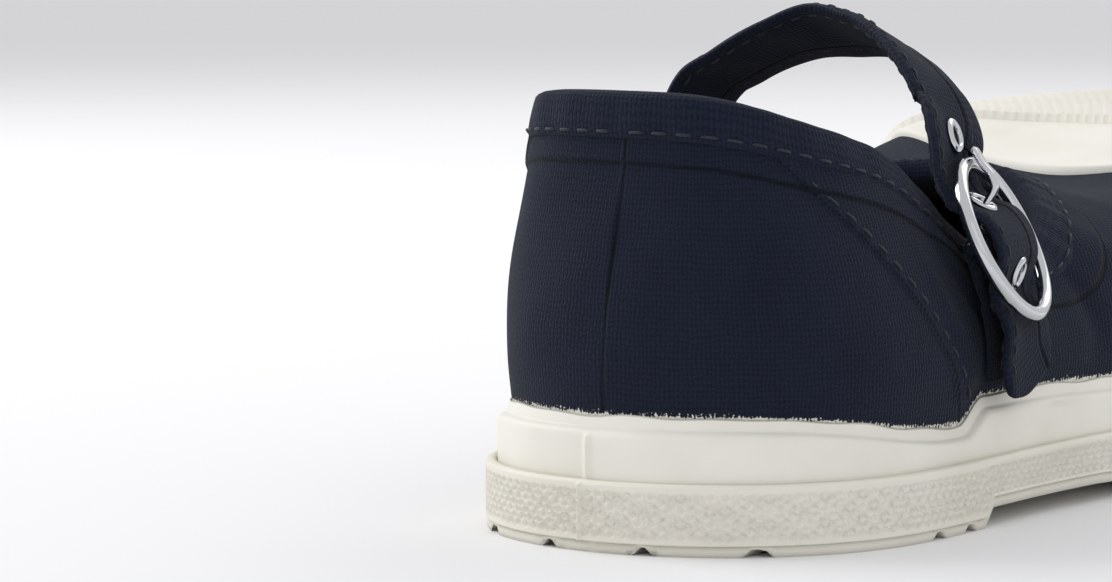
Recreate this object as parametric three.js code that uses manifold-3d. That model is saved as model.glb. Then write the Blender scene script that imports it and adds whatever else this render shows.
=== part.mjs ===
// Canvas strap sneaker, right shoe, child's European size 28.
//
// Millimetres, +Z up, +Y from heel to toe, +X to the wearer's right, which is
// the outer side of a right shoe. The origin is on the floor, at the middle of
// the heel's tread.

import * as THREE from 'three';
import { mergeVertices } from 'three/addons/utils/BufferGeometryUtils.js';
import Module from 'manifold-3d';

const wasm = await Module();
wasm.setup();

// ---------------------------------------------------------------- driving sizes

const SOLE_LENGTH = 185;
const GAP = 0.3; // clearance between neighbouring pieces
const HEEL_CENTRE = 22; // from the back of the heel to the middle of its tread
const HEEL_LIFT = 2.2; // height of the heel block under the sole
const HEEL_FRONT = 40; // where the heel block ends
const BALL_START = 104; // where the sole comes down to the floor again
const BALL_END = 120; // where the toe spring starts
const TOE_SPRING = 15; // height of the tread at the toe tip
const HEEL_STEP = 1.6; // length over which the tread steps up in front of it
const TREAD_LIP = 1.2; // thickness of the outsole's edge under the bands
const OUTSOLE = 5; // outsole thickness over the forefoot
const BAND_LOWER = 1.1; // thickness of the textured band
const BAND_UPPER = 1.3; // thickness of the smooth band
const WALL = 1.5; // two plies of canvas
const INSOLE = 2.6;

// How far each layer's outer face lies inside the outline of the sole.
const INSET_UPPER_BAND = BAND_LOWER + GAP;
const INSET_CANVAS = INSET_UPPER_BAND + BAND_UPPER + GAP;
const INSET_INSOLE = INSET_CANVAS + WALL + GAP;

// ---------------------------------------------------------------- the last

// One row for each station round the shoe, from the back of the heel along the
// outer side to the toe and back along the inner side. x, y: outline of the
// sole. tx, ty, tz: edge of the collar and throat. rise, lean: how far the
// canvas goes up, and out, before it turns. drop, reach: how far it runs down,
// and out, from the collar or throat edge.
const STATIONS = [
  // name                x      y      tx     ty     tz   rise  lean  drop reach
  ['heel_back',          0,     0,     0,     7.2,  48.8,  14,    2,   12,    0],
  ['heel_quarter_out',  16.1,   5.2,  10.8,  10,    48,    15,    2,   11,    1],
  ['heel_side_out',     25.8,  19.3,  16.6,  20,    45,    15,    2,    9,    3],
  ['heel_front_out',    27.6,  38,    18.6,  33.5,  40.5,  13,    2,    8,    3],
  ['waist_out',         27.8,  58,    19.4,  48.5,  31.5,   7,    1,    5,    3],
  ['shank_out',         30,    80,    20.2,  62.5,  29.6,   6,    0,    4,    4],
  ['joint_back_out',   33.4, 103, 18.2, 71, 33, 8, 0, 4, 8],
  ['joint_out',        34.5, 125, 14, 77, 35.6, 12, 0, 7, 15],
  ['joint_front_out',  32.5, 146, 9.5, 81, 37.4, 20, 0, 11, 25],
  ['toe_corner_out',   24, 167, 5, 83.4, 38.2, 30, 0, 14, 31],
  ['toe_quarter_out',  9, 180.5, 1.4, 84.5, 38.5, 33, 0, 16, 35],
  ['toe_tip',          -10, 185, -2, 84.8, 38.6, 34, 0, 17, 36],
  ['toe_quarter_in',   -28, 181, -5.5, 84.4, 38.5, 34, 0, 16, 35],
  ['toe_corner_in',    -40.5, 167, -9.2, 83, 38.1, 34, 0, 14, 31],
  ['joint_front_in',   -43, 147, -13.2, 79.5, 37.2, 19, 0, 11, 25],
  ['joint_in',         -41, 127, -16.8, 74, 35.8, 10, 0, 7, 15],
  ['joint_back_in',    -34.5, 104, -19.3, 66, 34.3, 9, 0, 4, 8],
  ['shank_in',         -27, 82, -20.2, 57, 33.5, 8, 0, 4, 3],
  ['waist_in',         -24,    59.5, -20.6,  47,    37,     9,    1,    5,    2],
  ['heel_front_in',    -26,    39,   -20,    35,    42.5,  13,    2,    7,    3],
  ['heel_side_in',     -25.4,  20,   -18.6,  21,    47,    16,    2,    8,    3],
  ['heel_quarter_in',  -16.1,   5.4, -12.2,  10.6,  48.7,  15,    2,   11,    1],
];

// Closed cubic spline through one column of the table: the control values of a
// uniform B-spline are relaxed until the curve passes through the rows.
function ringSpline(values) {
  const n = values.length;
  let control = values.slice();
  for (let pass = 0; pass < 60; pass++) {
    control = control.map((c, i) =>
      (6 * values[i] - control[(i + n - 1) % n] - control[(i + 1) % n]) / 4);
  }
  return (s) => {
    const i = Math.floor(s);
    const t = s - i;
    const c = (k) => control[(((i + k) % n) + n) % n];
    const weights = [
      (1 - t) ** 3,
      3 * t ** 3 - 6 * t ** 2 + 4,
      -3 * t ** 3 + 3 * t ** 2 + 3 * t + 1,
      t ** 3,
    ];
    return weights.reduce((sum, w, k) => sum + (w * c(k - 1)) / 6, 0);
  };
}

const ROUND = STATIONS.length; // s runs from 0 to ROUND once round the shoe
const TOE = STATIONS.findIndex((row) => row[0] === 'toe_tip');
const column = (k) => ringSpline(STATIONS.map((row) => row[k]));
const outline = { x: column(1), y: column(2) };
const edge = { x: column(3), y: column(4), z: column(5) };
const shape = { rise: column(6), lean: column(7), drop: column(8), reach: column(9) };

// Outward normal of the sole's outline at s.
function normalAt(s) {
  const h = 0.01;
  const dx = outline.x(s + h) - outline.x(s - h);
  const dy = outline.y(s + h) - outline.y(s - h);
  const length = Math.hypot(dx, dy);
  return [dy / length, -dx / length];
}

// The outline moved inward by inset, as a plan point.
function planPoint(s, inset) {
  const [nx, ny] = normalAt(s);
  return [outline.x(s) - nx * inset, outline.y(s) - ny * inset];
}

const smooth = (a, b, v) => {
  const t = Math.min(1, Math.max(0, (v - a) / (b - a)));
  return t * t * (3 - 2 * t);
};

// Toe spring: the tread lifts off the floor along a parabola past the ball.
function spring(y) {
  const t = Math.max(0, y - BALL_END) / (SOLE_LENGTH - BALL_END);
  return TOE_SPRING * t * t;
}

// Height of the arch: the sole hangs HEEL_LIFT above the floor in front of the
// heel block and comes down to it at the ball.
const arch = (y) => HEEL_LIFT * (1 - smooth(HEEL_FRONT + 26, BALL_START, y));

// Heights of the layers at a distance y from the back of the heel.
const soleBottom = (y) => arch(y) + spring(y);
const treadBottom = (y) => soleBottom(y)
  * Math.min(1, Math.max(0, (y - HEEL_FRONT) / HEEL_STEP));
const soleTop = (y) => soleBottom(y) + OUTSOLE;
const lowerBandTop = (y) => spring(y) + 7.8 + 0.2 * smooth(40, 80, y)
  - 1.2 * smooth(84, 112, y);
const upperBandTop = (y) => spring(y) + 14.7 - 2.85 * smooth(5, 36, y)
  + 2.75 * smooth(38, 44, y) - 0.4 * smooth(55, 80, y) - smooth(84, 112, y) + 3.4 * smooth(140, 172, y);

// ---------------------------------------------------------------- mesh helpers

function geometryFrom(points, triangles) {
  const geometry = new THREE.BufferGeometry();
  geometry.setAttribute('position', new THREE.Float32BufferAttribute(points.flat(), 3));
  geometry.setIndex(triangles.flat());
  return geometry;
}

// Place between a and b where the outline's y is lowest (sign 1) or highest (-1).
function extreme(a, b, sign) {
  for (let i = 0; i < 60; i++) {
    const [p, q] = [a + (b - a) / 3, b - (b - a) / 3];
    if (sign * outline.y(p) < sign * outline.y(q)) b = q;
    else a = p;
  }
  return (a + b) / 2;
}

// Place between a and b where the outline's y passes the value wanted.
function placeWhere(wanted, a, b) {
  const rising = outline.y(a) < outline.y(b);
  for (let i = 0; i < 60; i++) {
    const middle = (a + b) / 2;
    if ((outline.y(middle) < wanted) === rising) a = middle;
    else b = middle;
  }
  return (a + b) / 2;
}

const HEEL_END = extreme(-0.5, 0.5, 1);
const TOE_END = extreme(TOE - 0.5, TOE + 0.5, -1);

// Places round the shoe, in pairs straight across it: the place opposite
// number k is number count - k. The heel block's step has a pair at each end.
function placesRound(perSide) {
  const step = (TOE_END - HEEL_END) / perSide;
  const outer = Array.from({ length: perSide + 1 }, (_, i) => HEEL_END + step * i);
  const ends = [HEEL_FRONT, HEEL_FRONT + HEEL_STEP].map((y) => placeWhere(y, HEEL_END, TOE_END));
  const clear = outer.filter((s) => ends.every((e) => Math.abs(s - e) > step / 3));
  const side = [...clear, ...ends].sort((a, b) => a - b);
  const inner = side.slice(1, -1).map((s) => placeWhere(outline.y(s), TOE_END, ROUND + HEEL_END));
  return [...side, ...inner.reverse()];
}

const PLACES = placesRound(29);

// A closed ring of constant make: section(s) gives the loop of points of its
// cross-section at s, and the loops are joined once round the shoe.
function ringSolid(section, places = PLACES) {
  const loops = places.map(section);
  const m = loops[0].length;
  const triangles = [];
  for (let i = 0; i < loops.length; i++) {
    const next = ((i + 1) % loops.length) * m;
    for (let j = 0; j < m; j++) {
      const [a, b] = [i * m + j, i * m + ((j + 1) % m)];
      const [c, d] = [next + j, next + ((j + 1) % m)];
      triangles.push([a, c, d], [a, d, b]);
    }
  }
  return geometryFrom(loops.flat(), triangles);
}

// A closed plate: rings of points from the bottom face's rim to the top face's
// rim, with both faces filled by rows that run across the shoe between
// opposite samples. height(y) of each face keeps the rows on its curve.
function plateSolid(rims, bottomHeight, topHeight, columns = 6) {
  const count = rims[0].length;
  const points = rims.flat();
  const triangles = [];
  for (let r = 0; r + 1 < rims.length; r++) {
    for (let i = 0; i < count; i++) {
      const j = (i + 1) % count;
      const [a, b, c, d] = [r * count + i, r * count + j, (r + 1) * count + i, (r + 1) * count + j];
      triangles.push([a, b, d], [a, d, c]);
    }
  }
  const fill = (ring, first, height, flip) => {
    const half = count / 2;
    const rowOf = (k) => {
      if (k === 0 || k === half) return [first + k];
      const [from, to] = [ring[k], ring[count - k]];
      const row = [first + k];
      for (let c = 1; c < columns; c++) {
        const f = c / columns;
        const x = from[0] + (to[0] - from[0]) * f;
        const y = from[1] + (to[1] - from[1]) * f;
        row.push(points.length);
        points.push([x, y, height(y)]);
      }
      row.push(first + count - k);
      return row;
    };
    const push = (a, b, c) => triangles.push(flip ? [a, c, b] : [a, b, c]);
    let previous = rowOf(0);
    for (let k = 1; k <= half; k++) {
      const row = rowOf(k);
      if (previous.length === 1) {
        for (let c = 0; c < columns; c++) push(previous[0], row[c], row[c + 1]);
      } else if (row.length === 1) {
        for (let c = 0; c < columns; c++) push(previous[c], row[0], previous[c + 1]);
      } else {
        for (let c = 0; c < columns; c++) {
          push(previous[c], row[c], row[c + 1]);
          push(previous[c], row[c + 1], previous[c + 1]);
        }
      }
      previous = row;
    }
  };
  fill(rims[0], 0, bottomHeight, true);
  fill(rims[rims.length - 1], (rims.length - 1) * count, topHeight, false);
  return geometryFrom(points, triangles);
}

function solidFrom(geometry) {
  const bare = geometry.clone();
  bare.deleteAttribute('normal');
  bare.deleteAttribute('uv');
  const merged = mergeVertices(bare, 1e-4);
  return new wasm.Manifold(new wasm.Mesh({
    numProp: 3,
    vertProperties: new Float32Array(merged.attributes.position.array),
    triVerts: new Uint32Array(merged.index.array),
  }));
}

function geometryOf(solid) {
  const mesh = solid.getMesh();
  const geometry = new THREE.BufferGeometry();
  geometry.setAttribute('position', new THREE.Float32BufferAttribute(mesh.vertProperties, 3));
  geometry.setIndex(Array.from(mesh.triVerts));
  return geometry;
}

const shoe = new THREE.Group();
shoe.name = 'strap_sneaker_right';
shoe.position.y = -HEEL_CENTRE;

function addPiece(name, geometry, { color, roughness, metalness = 0 }) {
  const mesh = new THREE.Mesh(geometry, new THREE.MeshStandardMaterial({ color, roughness, metalness }));
  mesh.name = name;
  shoe.add(mesh);
  return mesh;
}

const RUBBER = { color: 0xeceae0, roughness: 0.5 };
const CANVAS = { color: 0x20253c, roughness: 0.95 };
const LINING = { color: 0xd9d4c6, roughness: 0.9 };
const CHROME = { color: 0xd0d2d6, roughness: 0.15, metalness: 1 };

// ---------------------------------------------------------------- outsole

// Moulded rubber plate with the heel block in one, a thin lip that shows under
// the bands, and grooves that leave the lugs standing.
const GROOVE = { width: 2, depth: 0.9 };

function outsole() {
  const rim = (inset, height) => PLACES.map((s) => {
    const [x, y] = planPoint(s, inset);
    return [x, y, height(y)];
  });
  const rims = [
    rim(0.7, treadBottom),
    rim(0.2, (y) => treadBottom(y) + 0.4),
    rim(0.2, (y) => treadBottom(y) + TREAD_LIP),
    rim(INSET_CANVAS, (y) => treadBottom(y) + TREAD_LIP),
    rim(INSET_CANVAS, soleTop),
  ];
  let plate = solidFrom(plateSolid(rims, treadBottom, soleTop));
  const cut = (width, length, x, y, z) => {
    const bar = new THREE.BoxGeometry(width, length, 2 * GROOVE.depth);
    bar.translate(x, y, z);
    plate = plate.subtract(solidFrom(bar));
  };
  for (const x of [-17, -6, 6, 17]) cut(GROOVE.width, 30, x, 10, 0);
  for (const y of [29, 36]) cut(70, GROOVE.width, 0, y, 0);
  for (let y = 107; y < 180; y += 7.5) cut(90, GROOVE.width, 0, y, treadBottom(y));
  return geometryOf(plate);
}

addPiece('outsole', outsole(), RUBBER);

// ---------------------------------------------------------------- bands round the sole

// Textured rubber band round the edge of the outsole.
addPiece('band_textured', ringSolid((s) => {
  const [ox, oy] = planPoint(s, 0);
  const [ix, iy] = planPoint(s, BAND_LOWER);
  const low = treadBottom(oy) + TREAD_LIP + GAP;
  const high = lowerBandTop(oy);
  return [[ox, oy, low], [ox, oy, high - 0.4], [...planPoint(s, 0.4), high], [ix, iy, high], [ix, iy, low]];
}, PLACES), RUBBER);

// Smooth rubber band behind it, rolled inward where it closes on the canvas.
addPiece('band_smooth', ringSolid((s) => {
  const [ox, oy] = planPoint(s, INSET_UPPER_BAND);
  const [ix, iy] = planPoint(s, INSET_UPPER_BAND + BAND_UPPER);
  const low = treadBottom(oy) + TREAD_LIP + GAP;
  const high = upperBandTop(oy);
  return [[ox, oy, low], [ox, oy, high - 1.8], [...planPoint(s, INSET_UPPER_BAND + 0.4), high - 0.8],
    [ix, iy, high], [ix, iy, low]];
}, PLACES), RUBBER);

// ---------------------------------------------------------------- upper

// Point of the upper's outer face: s goes round the shoe, t from 0 at the foot
// of the wall over 0.2 at the top of the bands to 1 at the collar or throat.
const FOOT = 0.2;

function canvasPoint(s, t) {
  const [x, y] = planPoint(s, INSET_CANVAS);
  const low = soleTop(y) + GAP;
  const crease = upperBandTop(y);
  if (t < FOOT) return [x, y, low + (crease - low) * (t / FOOT)];
  const u = (t - FOOT) / (1 - FOOT);
  const [nx, ny] = normalAt(s);
  const [tx, ty, tz] = [edge.x(s), edge.y(s), edge.z(s)];
  const [rise, lean] = [shape.rise(s), shape.lean(s)];
  const [drop, reach] = [shape.drop(s), shape.reach(s)];
  const w = [(1 - u) ** 3, 3 * u * (1 - u) ** 2, 3 * u * u * (1 - u), u ** 3];
  return [
    w[0] * x + w[1] * (x + lean * nx) + w[2] * (tx + reach * nx) + w[3] * tx,
    w[0] * y + w[1] * (y + lean * ny) + w[2] * (ty + reach * ny) + w[3] * ty,
    w[0] * crease + w[1] * (crease + rise) + w[2] * (tz - drop) + w[3] * tz,
  ];
}

// Outward normal of that face.
function canvasNormal(s, t) {
  const h = 0.004;
  const t0 = Math.max(0, t - h);
  const t1 = Math.min(1, t + h);
  const along = new THREE.Vector3(...canvasPoint(s + h, t)).sub(new THREE.Vector3(...canvasPoint(s - h, t)));
  const up = new THREE.Vector3(...canvasPoint(s, t1)).sub(new THREE.Vector3(...canvasPoint(s, t0)));
  return along.cross(up).normalize();
}

// The same face moved out by a distance, or in by a negative one.
function offsetPoint(s, t, distance) {
  const n = canvasNormal(s, t);
  return new THREE.Vector3(...canvasPoint(s, t)).addScaledVector(n, distance).toArray();
}

const UPPER_ROWS = [0, 0.2, 0.212, 0.27, 0.34, 0.42, 0.5, 0.58, 0.66, 0.74, 0.82, 0.9, 0.96, 1];

// Ring between two offsets of that face, over the rows given for each place.
function shellRing(rowsAt, outside, inside) {
  return ringSolid((s) => {
    const rows = rowsAt(s);
    return [
      ...rows.map((t) => offsetPoint(s, t, outside)),
      ...rows.map((t) => offsetPoint(s, t, inside)).reverse(),
    ];
  });
}

addPiece('upper', ringSolid((s) => {
  const inner = UPPER_ROWS.map((t) => {
    const p = offsetPoint(s, Math.min(t, 0.995), -WALL);
    if (t === 0) p[2] = canvasPoint(s, 0)[2];
    return p;
  });
  return [...UPPER_ROWS.map((t) => canvasPoint(s, t)), ...inner.reverse()];
}), CANVAS);

// ---------------------------------------------------------------- toe cap and bumper

const CAP = { thickness: 1.2, rear: 0.77, stations: 3.3 };
const BUMPER = { thickness: 2.2, rear: 0.62, stations: 4.4 };
const LEAST = 0.14; // a boundary below the top of the bands ends the piece there

// How far up the canvas each piece's rear edge runs: highest at the toe tip,
// and down to the bands at so many stations to each side of it.
const rearEdge = ({ rear, stations }, s) =>
  Math.max(LEAST, FOOT + (rear - FOOT) * (1 - (Math.abs(s - TOE) / stations) ** 2));

// Everything above that edge, as a cutting tool that reaches outside and inside
// any overlay and stops just below the throat.
const CUTTER = { outside: 7, inside: -4, end: 0.99, rows: [0, 0.25, 0.5, 0.75, 1] };
const aboveEdge = (overlay, allowance) => solidFrom(shellRing((s) => {
  const low = rearEdge(overlay, s) + allowance;
  return CUTTER.rows.map((v) => low + (CUTTER.end - low) * v);
}, CUTTER.outside, CUTTER.inside));

// The whole canvas above the bands and below the throat, covered evenly.
const COVERED_ROWS = UPPER_ROWS.slice(2, -3);
const overlayForm = (thickness) => solidFrom(shellRing(() => COVERED_ROWS, GAP + thickness, GAP));

addPiece('toe_bumper', geometryOf(
  overlayForm(BUMPER.thickness).subtract(aboveEdge(BUMPER, 0)),
), RUBBER);

addPiece('toe_cap', geometryOf(
  overlayForm(CAP.thickness).subtract(aboveEdge(CAP, 0)).intersect(aboveEdge(BUMPER, 0.005)),
), RUBBER);

// ---------------------------------------------------------------- insole

addPiece('insole', (() => {
  const top = (y) => soleTop(y) + GAP + INSOLE;
  const bottom = (y) => soleTop(y) + GAP;
  const rim = (height) => PLACES.map((s) => {
    const [x, y] = planPoint(s, INSET_INSOLE + 0.2);
    return [x, y, height(y)];
  });
  return plateSolid([rim(bottom), rim(top)], bottom, top);
})(), LINING);

// ---------------------------------------------------------------- where the buckle is

// Round ring with a bar across it that sits a little behind the ring's plane.
// The buckle is drawn with X along the bar, Y up the strap and Z outward.
const RING = { radius: 9.4, wire: 0.85, bar: 0.7, barBehind: 1.6, barLength: 17.8 };
const RING_CENTRE = new THREE.Vector3(25.8, 46.6, 32.4);
const RING_OUT = new THREE.Vector3(0.885, 0.15, 0.44).normalize();
const RING_BAR = new THREE.Vector3(-0.44, -0.1, 0.885).cross(RING_OUT).normalize();
const RING_UP = RING_OUT.clone().cross(RING_BAR);
const RING_PLACE = new THREE.Matrix4().makeBasis(RING_BAR, RING_UP, RING_OUT).setPosition(RING_CENTRE);

// Rows of a strip's table from points up the strap and out from the ring.
const besideRing = (rows) => rows.map(([name, up, out]) => [
  name,
  ...new THREE.Vector3(0, up, out).applyMatrix4(RING_PLACE).toArray(),
  ...RING_BAR.toArray(),
]);

// ---------------------------------------------------------------- instep strap

// A thick strip that follows a table of sections: x, y, z is the middle and
// wx, wy, wz the way towards its front edge.
function stripCurves(rows) {
  const curve = (k) => new THREE.CatmullRomCurve3(
    rows.map((row) => new THREE.Vector3(row[k], row[k + 1], row[k + 2])), false, 'centripetal');
  const [middle, front] = [curve(1), curve(4)];
  // Middle, front and outward directions at u, from 0 to 1 along the strip.
  return (u) => {
    const at = middle.getPoint(u);
    const along = middle.getTangent(u);
    const across = front.getPoint(u).addScaledVector(along, -front.getPoint(u).dot(along)).normalize();
    return { at, along, across, out: along.clone().cross(across).normalize() };
  };
}

function stripSolid(frameAt, width, thickness, sections) {
  const loops = [];
  for (let i = 0; i <= sections; i++) {
    const { at, across, out } = frameAt(i / sections);
    for (const [w, h] of [[-1, -1], [1, -1], [1, 1], [-1, 1]]) {
      loops.push(at.clone().addScaledVector(across, (w * width) / 2)
        .addScaledVector(out, (h * thickness) / 2).toArray());
    }
  }
  const triangles = [[0, 2, 1], [0, 3, 2]];
  for (let i = 0; i < sections; i++) {
    for (let j = 0; j < 4; j++) {
      const [a, b] = [4 * i + j, 4 * i + ((j + 1) % 4)];
      triangles.push([a, b, b + 4], [a, b + 4, a + 4]);
    }
  }
  const last = 4 * sections;
  triangles.push([last, last + 1, last + 2], [last, last + 2, last + 3]);
  return solidFrom(geometryFrom(loops, triangles));
}

const STRAP = { width: 13.2, thickness: 1.4, sections: 60 };
const STRAP_PATH = [
  // name              x      y      z      wx     wy     wz
  ['sewn_end',       -15.7,  55.6,  27,     0.05,  1,     0],
  ['wall_in',        -17,    54.8,  34,     0.07,  1,     0],
  ['collar_in',      -19.6,  53.6,  44.5,   0.1,   1,    -0.05],
  ['shoulder_in',    -17.1,  53.3,  49.2,   0.06,  0.98, -0.2],
  ['rise_in',        -13.3,  53.2,  51.4,  -0.02,  0.96, -0.26],
  ['arch_in',         -6.7,  53.2,  54.4,  -0.06,  0.94, -0.34],
  ['top',             -0.2,  53.2,  55.8,  -0.15,  0.88, -0.45],
  ['arch_out',         6,    52.2,  55.2,  -0.36,  0.89, -0.22],
  ['shoulder_out',    11,    50.2,  53.3,  -0.35,  0.93, -0.05],
  ['turn_out',        15.2,  48.4,  50.2,  -0.2,   0.98,  0],
  ['side_out',        18,    47.5,  46.4,  -0.08,  0.99,  0.03],
  ...besideRing([
    ['above_ring',     12.6,  -0.9],
    ['under_ring_top',  9.4,  -2],
    ['at_inner_edge',   6.2,  -2.05],
    ['climb_to_bar',    4.3,  -1],
    ['near_bar',        2.4,   0.7],
    ['over_bar',        0,     1.2],
    ['past_bar',       -2.4,   0.7],
    ['down_again',     -4.3,  -1],
    ['at_outer_edge',  -6.2,  -2.05],
    ['under_ring_low', -9.4,  -2],
  ]),
  ['beside_wall',     28,    48.2,  19.4,  -0.08,  1,     0],
  ['free_end',        27.7,  48.8,  15.8,   0,     1,     0],
];
const strapFrame = stripCurves(STRAP_PATH);
const EYELET = { heights: [43.9, 35.9, 28.7], flange: 1.9, hole: 1.1, barrel: 1.5, rim: 0.4 };

// Place on the outer half of the strap where its middle is at a height.
function strapAtHeight(z) {
  let [high, low] = [0.5, 1];
  for (let i = 0; i < 40; i++) {
    const middle = (high + low) / 2;
    if (strapFrame(middle).at.z > z) high = middle;
    else low = middle;
  }
  return strapFrame(low);
}

// Turns a piece drawn about the Z axis to stand on the strap at a frame.
const standOn = ({ at, across, out }) => new THREE.Matrix4()
  .makeBasis(across.clone().cross(out), across, out).setPosition(at);

let strap = stripSolid(strapFrame, STRAP.width, STRAP.thickness, STRAP.sections);
EYELET.heights.forEach((z, i) => {
  const place = standOn(strapAtHeight(z));
  const drill = new THREE.CylinderGeometry(EYELET.barrel + GAP, EYELET.barrel + GAP, 6, 12);
  strap = strap.subtract(solidFrom(drill.rotateX(Math.PI / 2).applyMatrix4(place)));
  const [under, over] = [GAP - STRAP.thickness / 2, STRAP.thickness / 2 + 2 * GAP];
  const profile = [
    [EYELET.hole, under], [EYELET.barrel, under], [EYELET.barrel, over], [EYELET.flange, over],
    [EYELET.flange, over + EYELET.rim / 2], [EYELET.barrel, over + EYELET.rim], [EYELET.hole, over],
    [EYELET.hole, under],
  ].map(([r, h]) => new THREE.Vector2(r, h));
  const eyelet = new THREE.LatheGeometry(profile, 12).rotateX(Math.PI / 2).applyMatrix4(place);
  addPiece(`eyelet_${i + 1}`, geometryOf(solidFrom(eyelet)), CHROME);
});
addPiece('strap', geometryOf(strap), CANVAS);

// ---------------------------------------------------------------- buckle

const ring = solidFrom(new THREE.TorusGeometry(RING.radius, RING.wire, 8, 28));
const bar = solidFrom(new THREE.CylinderGeometry(RING.bar, RING.bar, RING.barLength, 8)
  .rotateZ(Math.PI / 2).translate(0, 0, -RING.barBehind));
const posts = [-1, 1].map((side) => solidFrom(
  new THREE.CylinderGeometry(RING.bar, RING.bar, RING.barBehind, 8).rotateX(Math.PI / 2)
    .translate((side * RING.barLength) / 2, 0, -RING.barBehind / 2)));
const ringAndBar = ring.add(bar).add(posts[0]).add(posts[1]);
addPiece('buckle_ring', geometryOf(ringAndBar).applyMatrix4(RING_PLACE), CHROME);

// Outline of a plate of even thickness along a path in one plane, mitred where
// the path bends.
function thickened(path, thickness) {
  const direction = (i) => path[i + 1].clone().sub(path[i]).normalize();
  const side = (sign) => path.map((point, i) => {
    const before = direction(Math.max(i - 1, 0));
    const miter = before.clone().add(direction(Math.min(i, path.length - 2))).normalize();
    const across = new THREE.Vector2(-miter.y, miter.x);
    return point.clone().addScaledVector(across, (sign * thickness) / 2 / miter.dot(before));
  });
  return [...side(1), ...side(-1).reverse()];
}

// Flat prong: an eye round the bar, and an arm that lies under the strap, comes
// out through the middle eyelet and rests over the ring.
const PRONG = { width: 1.4, thickness: 0.8, eye: 1, eyeRim: 0.7 };
const PRONG_PATH = [[1.2, -1.8], [3.6, -2.3], [5.7, 0.75], [7, 1.6], [10.9, 1.6]]
  .map(([up, out]) => new THREE.Vector2(up, out));
const UPRIGHT = new THREE.Matrix4().makeBasis(
  new THREE.Vector3(0, 1, 0), new THREE.Vector3(0, 0, 1), new THREE.Vector3(1, 0, 0));

function plateAcross(shape) {
  const options = { depth: PRONG.width, bevelEnabled: false, curveSegments: 6 };
  const plate = new THREE.ExtrudeGeometry(shape, options).translate(0, 0, -PRONG.width / 2);
  return solidFrom(plate.applyMatrix4(UPRIGHT));
}

const eyeShape = new THREE.Shape().absarc(0, -RING.barBehind, PRONG.eye + PRONG.eyeRim, 0, 2 * Math.PI);
eyeShape.holes.push(new THREE.Path().absarc(0, -RING.barBehind, PRONG.eye, 0, 2 * Math.PI));
const prong = plateAcross(eyeShape).add(plateAcross(new THREE.Shape(thickened(PRONG_PATH, PRONG.thickness))));
addPiece('buckle_prong', geometryOf(prong).applyMatrix4(RING_PLACE), CHROME);

// ---------------------------------------------------------------- buckle strap

// Short tab that rises on the canvas from the bands, turns over the bar and
// comes a little way down again, with a slot for the prong.
const TAB = { width: 11.6, thickness: 0.8, sections: 44 };
const TAB_PATH = [
  // name              x      y      z      wx     wy     wz
  ['sewn_end',        25.9,  48.4,  16.8,   0,     1,     0],
  ['on_wall',         25.9,  48.1,  20.5,  -0.03,  1,     0],
  ['off_wall',        25.4,  47.5,  24,    -0.08,  1,     0],
  ['leaving_wall',    24.7,  47.2,  26.2,  -0.12,  1,     0],
  ...besideRing([
    ['behind_ply',    -3.4,  -3.4],
    ['below_bar',     -1.4,  -3.1],
    ['behind_bar',     0,    -3],
    ['up_behind',      0.99, -2.59],
    ['above_bar',      1.4,  -1.6],
    ['up_before',      0.99, -0.61],
    ['before_bar',     0,    -0.2],
    ['turned_down',   -1.4,  -0.6],
    ['tucked_under',  -2.7,  -1.45],
    ['free_end',      -3.9,  -2.35],
  ]),
];
const slot = new THREE.BoxGeometry(PRONG.width + 2 * GAP, 5.6, 4.4)
  .translate(0, 0.7, -RING.barBehind).applyMatrix4(RING_PLACE);
addPiece('buckle_strap', geometryOf(
  stripSolid(stripCurves(TAB_PATH), TAB.width, TAB.thickness, TAB.sections).subtract(solidFrom(slot)),
), CANVAS);

export default shoe;
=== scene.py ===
import math

import bpy
import numpy as np
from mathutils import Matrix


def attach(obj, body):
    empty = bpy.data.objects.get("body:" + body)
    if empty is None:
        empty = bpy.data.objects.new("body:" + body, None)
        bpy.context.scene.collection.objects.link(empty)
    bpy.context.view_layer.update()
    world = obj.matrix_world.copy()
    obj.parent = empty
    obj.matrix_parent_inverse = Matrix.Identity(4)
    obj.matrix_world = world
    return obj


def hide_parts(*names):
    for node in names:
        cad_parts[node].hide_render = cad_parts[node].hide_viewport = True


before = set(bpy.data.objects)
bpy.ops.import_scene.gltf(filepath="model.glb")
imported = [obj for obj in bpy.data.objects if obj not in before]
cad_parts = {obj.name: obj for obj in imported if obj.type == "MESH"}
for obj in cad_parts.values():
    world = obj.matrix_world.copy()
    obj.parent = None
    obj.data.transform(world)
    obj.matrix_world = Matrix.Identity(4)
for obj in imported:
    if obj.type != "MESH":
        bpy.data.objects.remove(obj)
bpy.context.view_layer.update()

MM = 0.001


# ---------------------------------------------------------------- studio
# A wide pale floor under an even white sky, with one large soft light over the
# left shoulder and a weaker one in front, as for a catalogue picture.

def linear(hex_colour):
    """sRGB hex to linear RGBA: c/12.92 below 0.04045, else ((c+0.055)/1.055)^2.4."""
    c = np.array([int(hex_colour[i:i + 2], 16) / 255 for i in (1, 3, 5)])
    c = np.where(c <= 0.04045, c / 12.92, ((c + 0.055) / 1.055) ** 2.4)
    return (*c, 1.0)


def add(tree, kind, inputs=None, **settings):
    """Adds one node; an input is a number, a colour, or another node's output."""
    node = tree.nodes.new(kind)
    for key, value in settings.items():
        setattr(node, key, value)
    for key, value in (inputs or {}).items():
        if isinstance(value, bpy.types.NodeSocket):
            tree.links.new(value, node.inputs[key])
        else:
            node.inputs[key].default_value = value
    return node


def new_material(name):
    """An empty node material; returns it with its tree."""
    material = bpy.data.materials.new(name)
    material.use_nodes = True
    material.node_tree.nodes.clear()
    return material, material.node_tree


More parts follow.
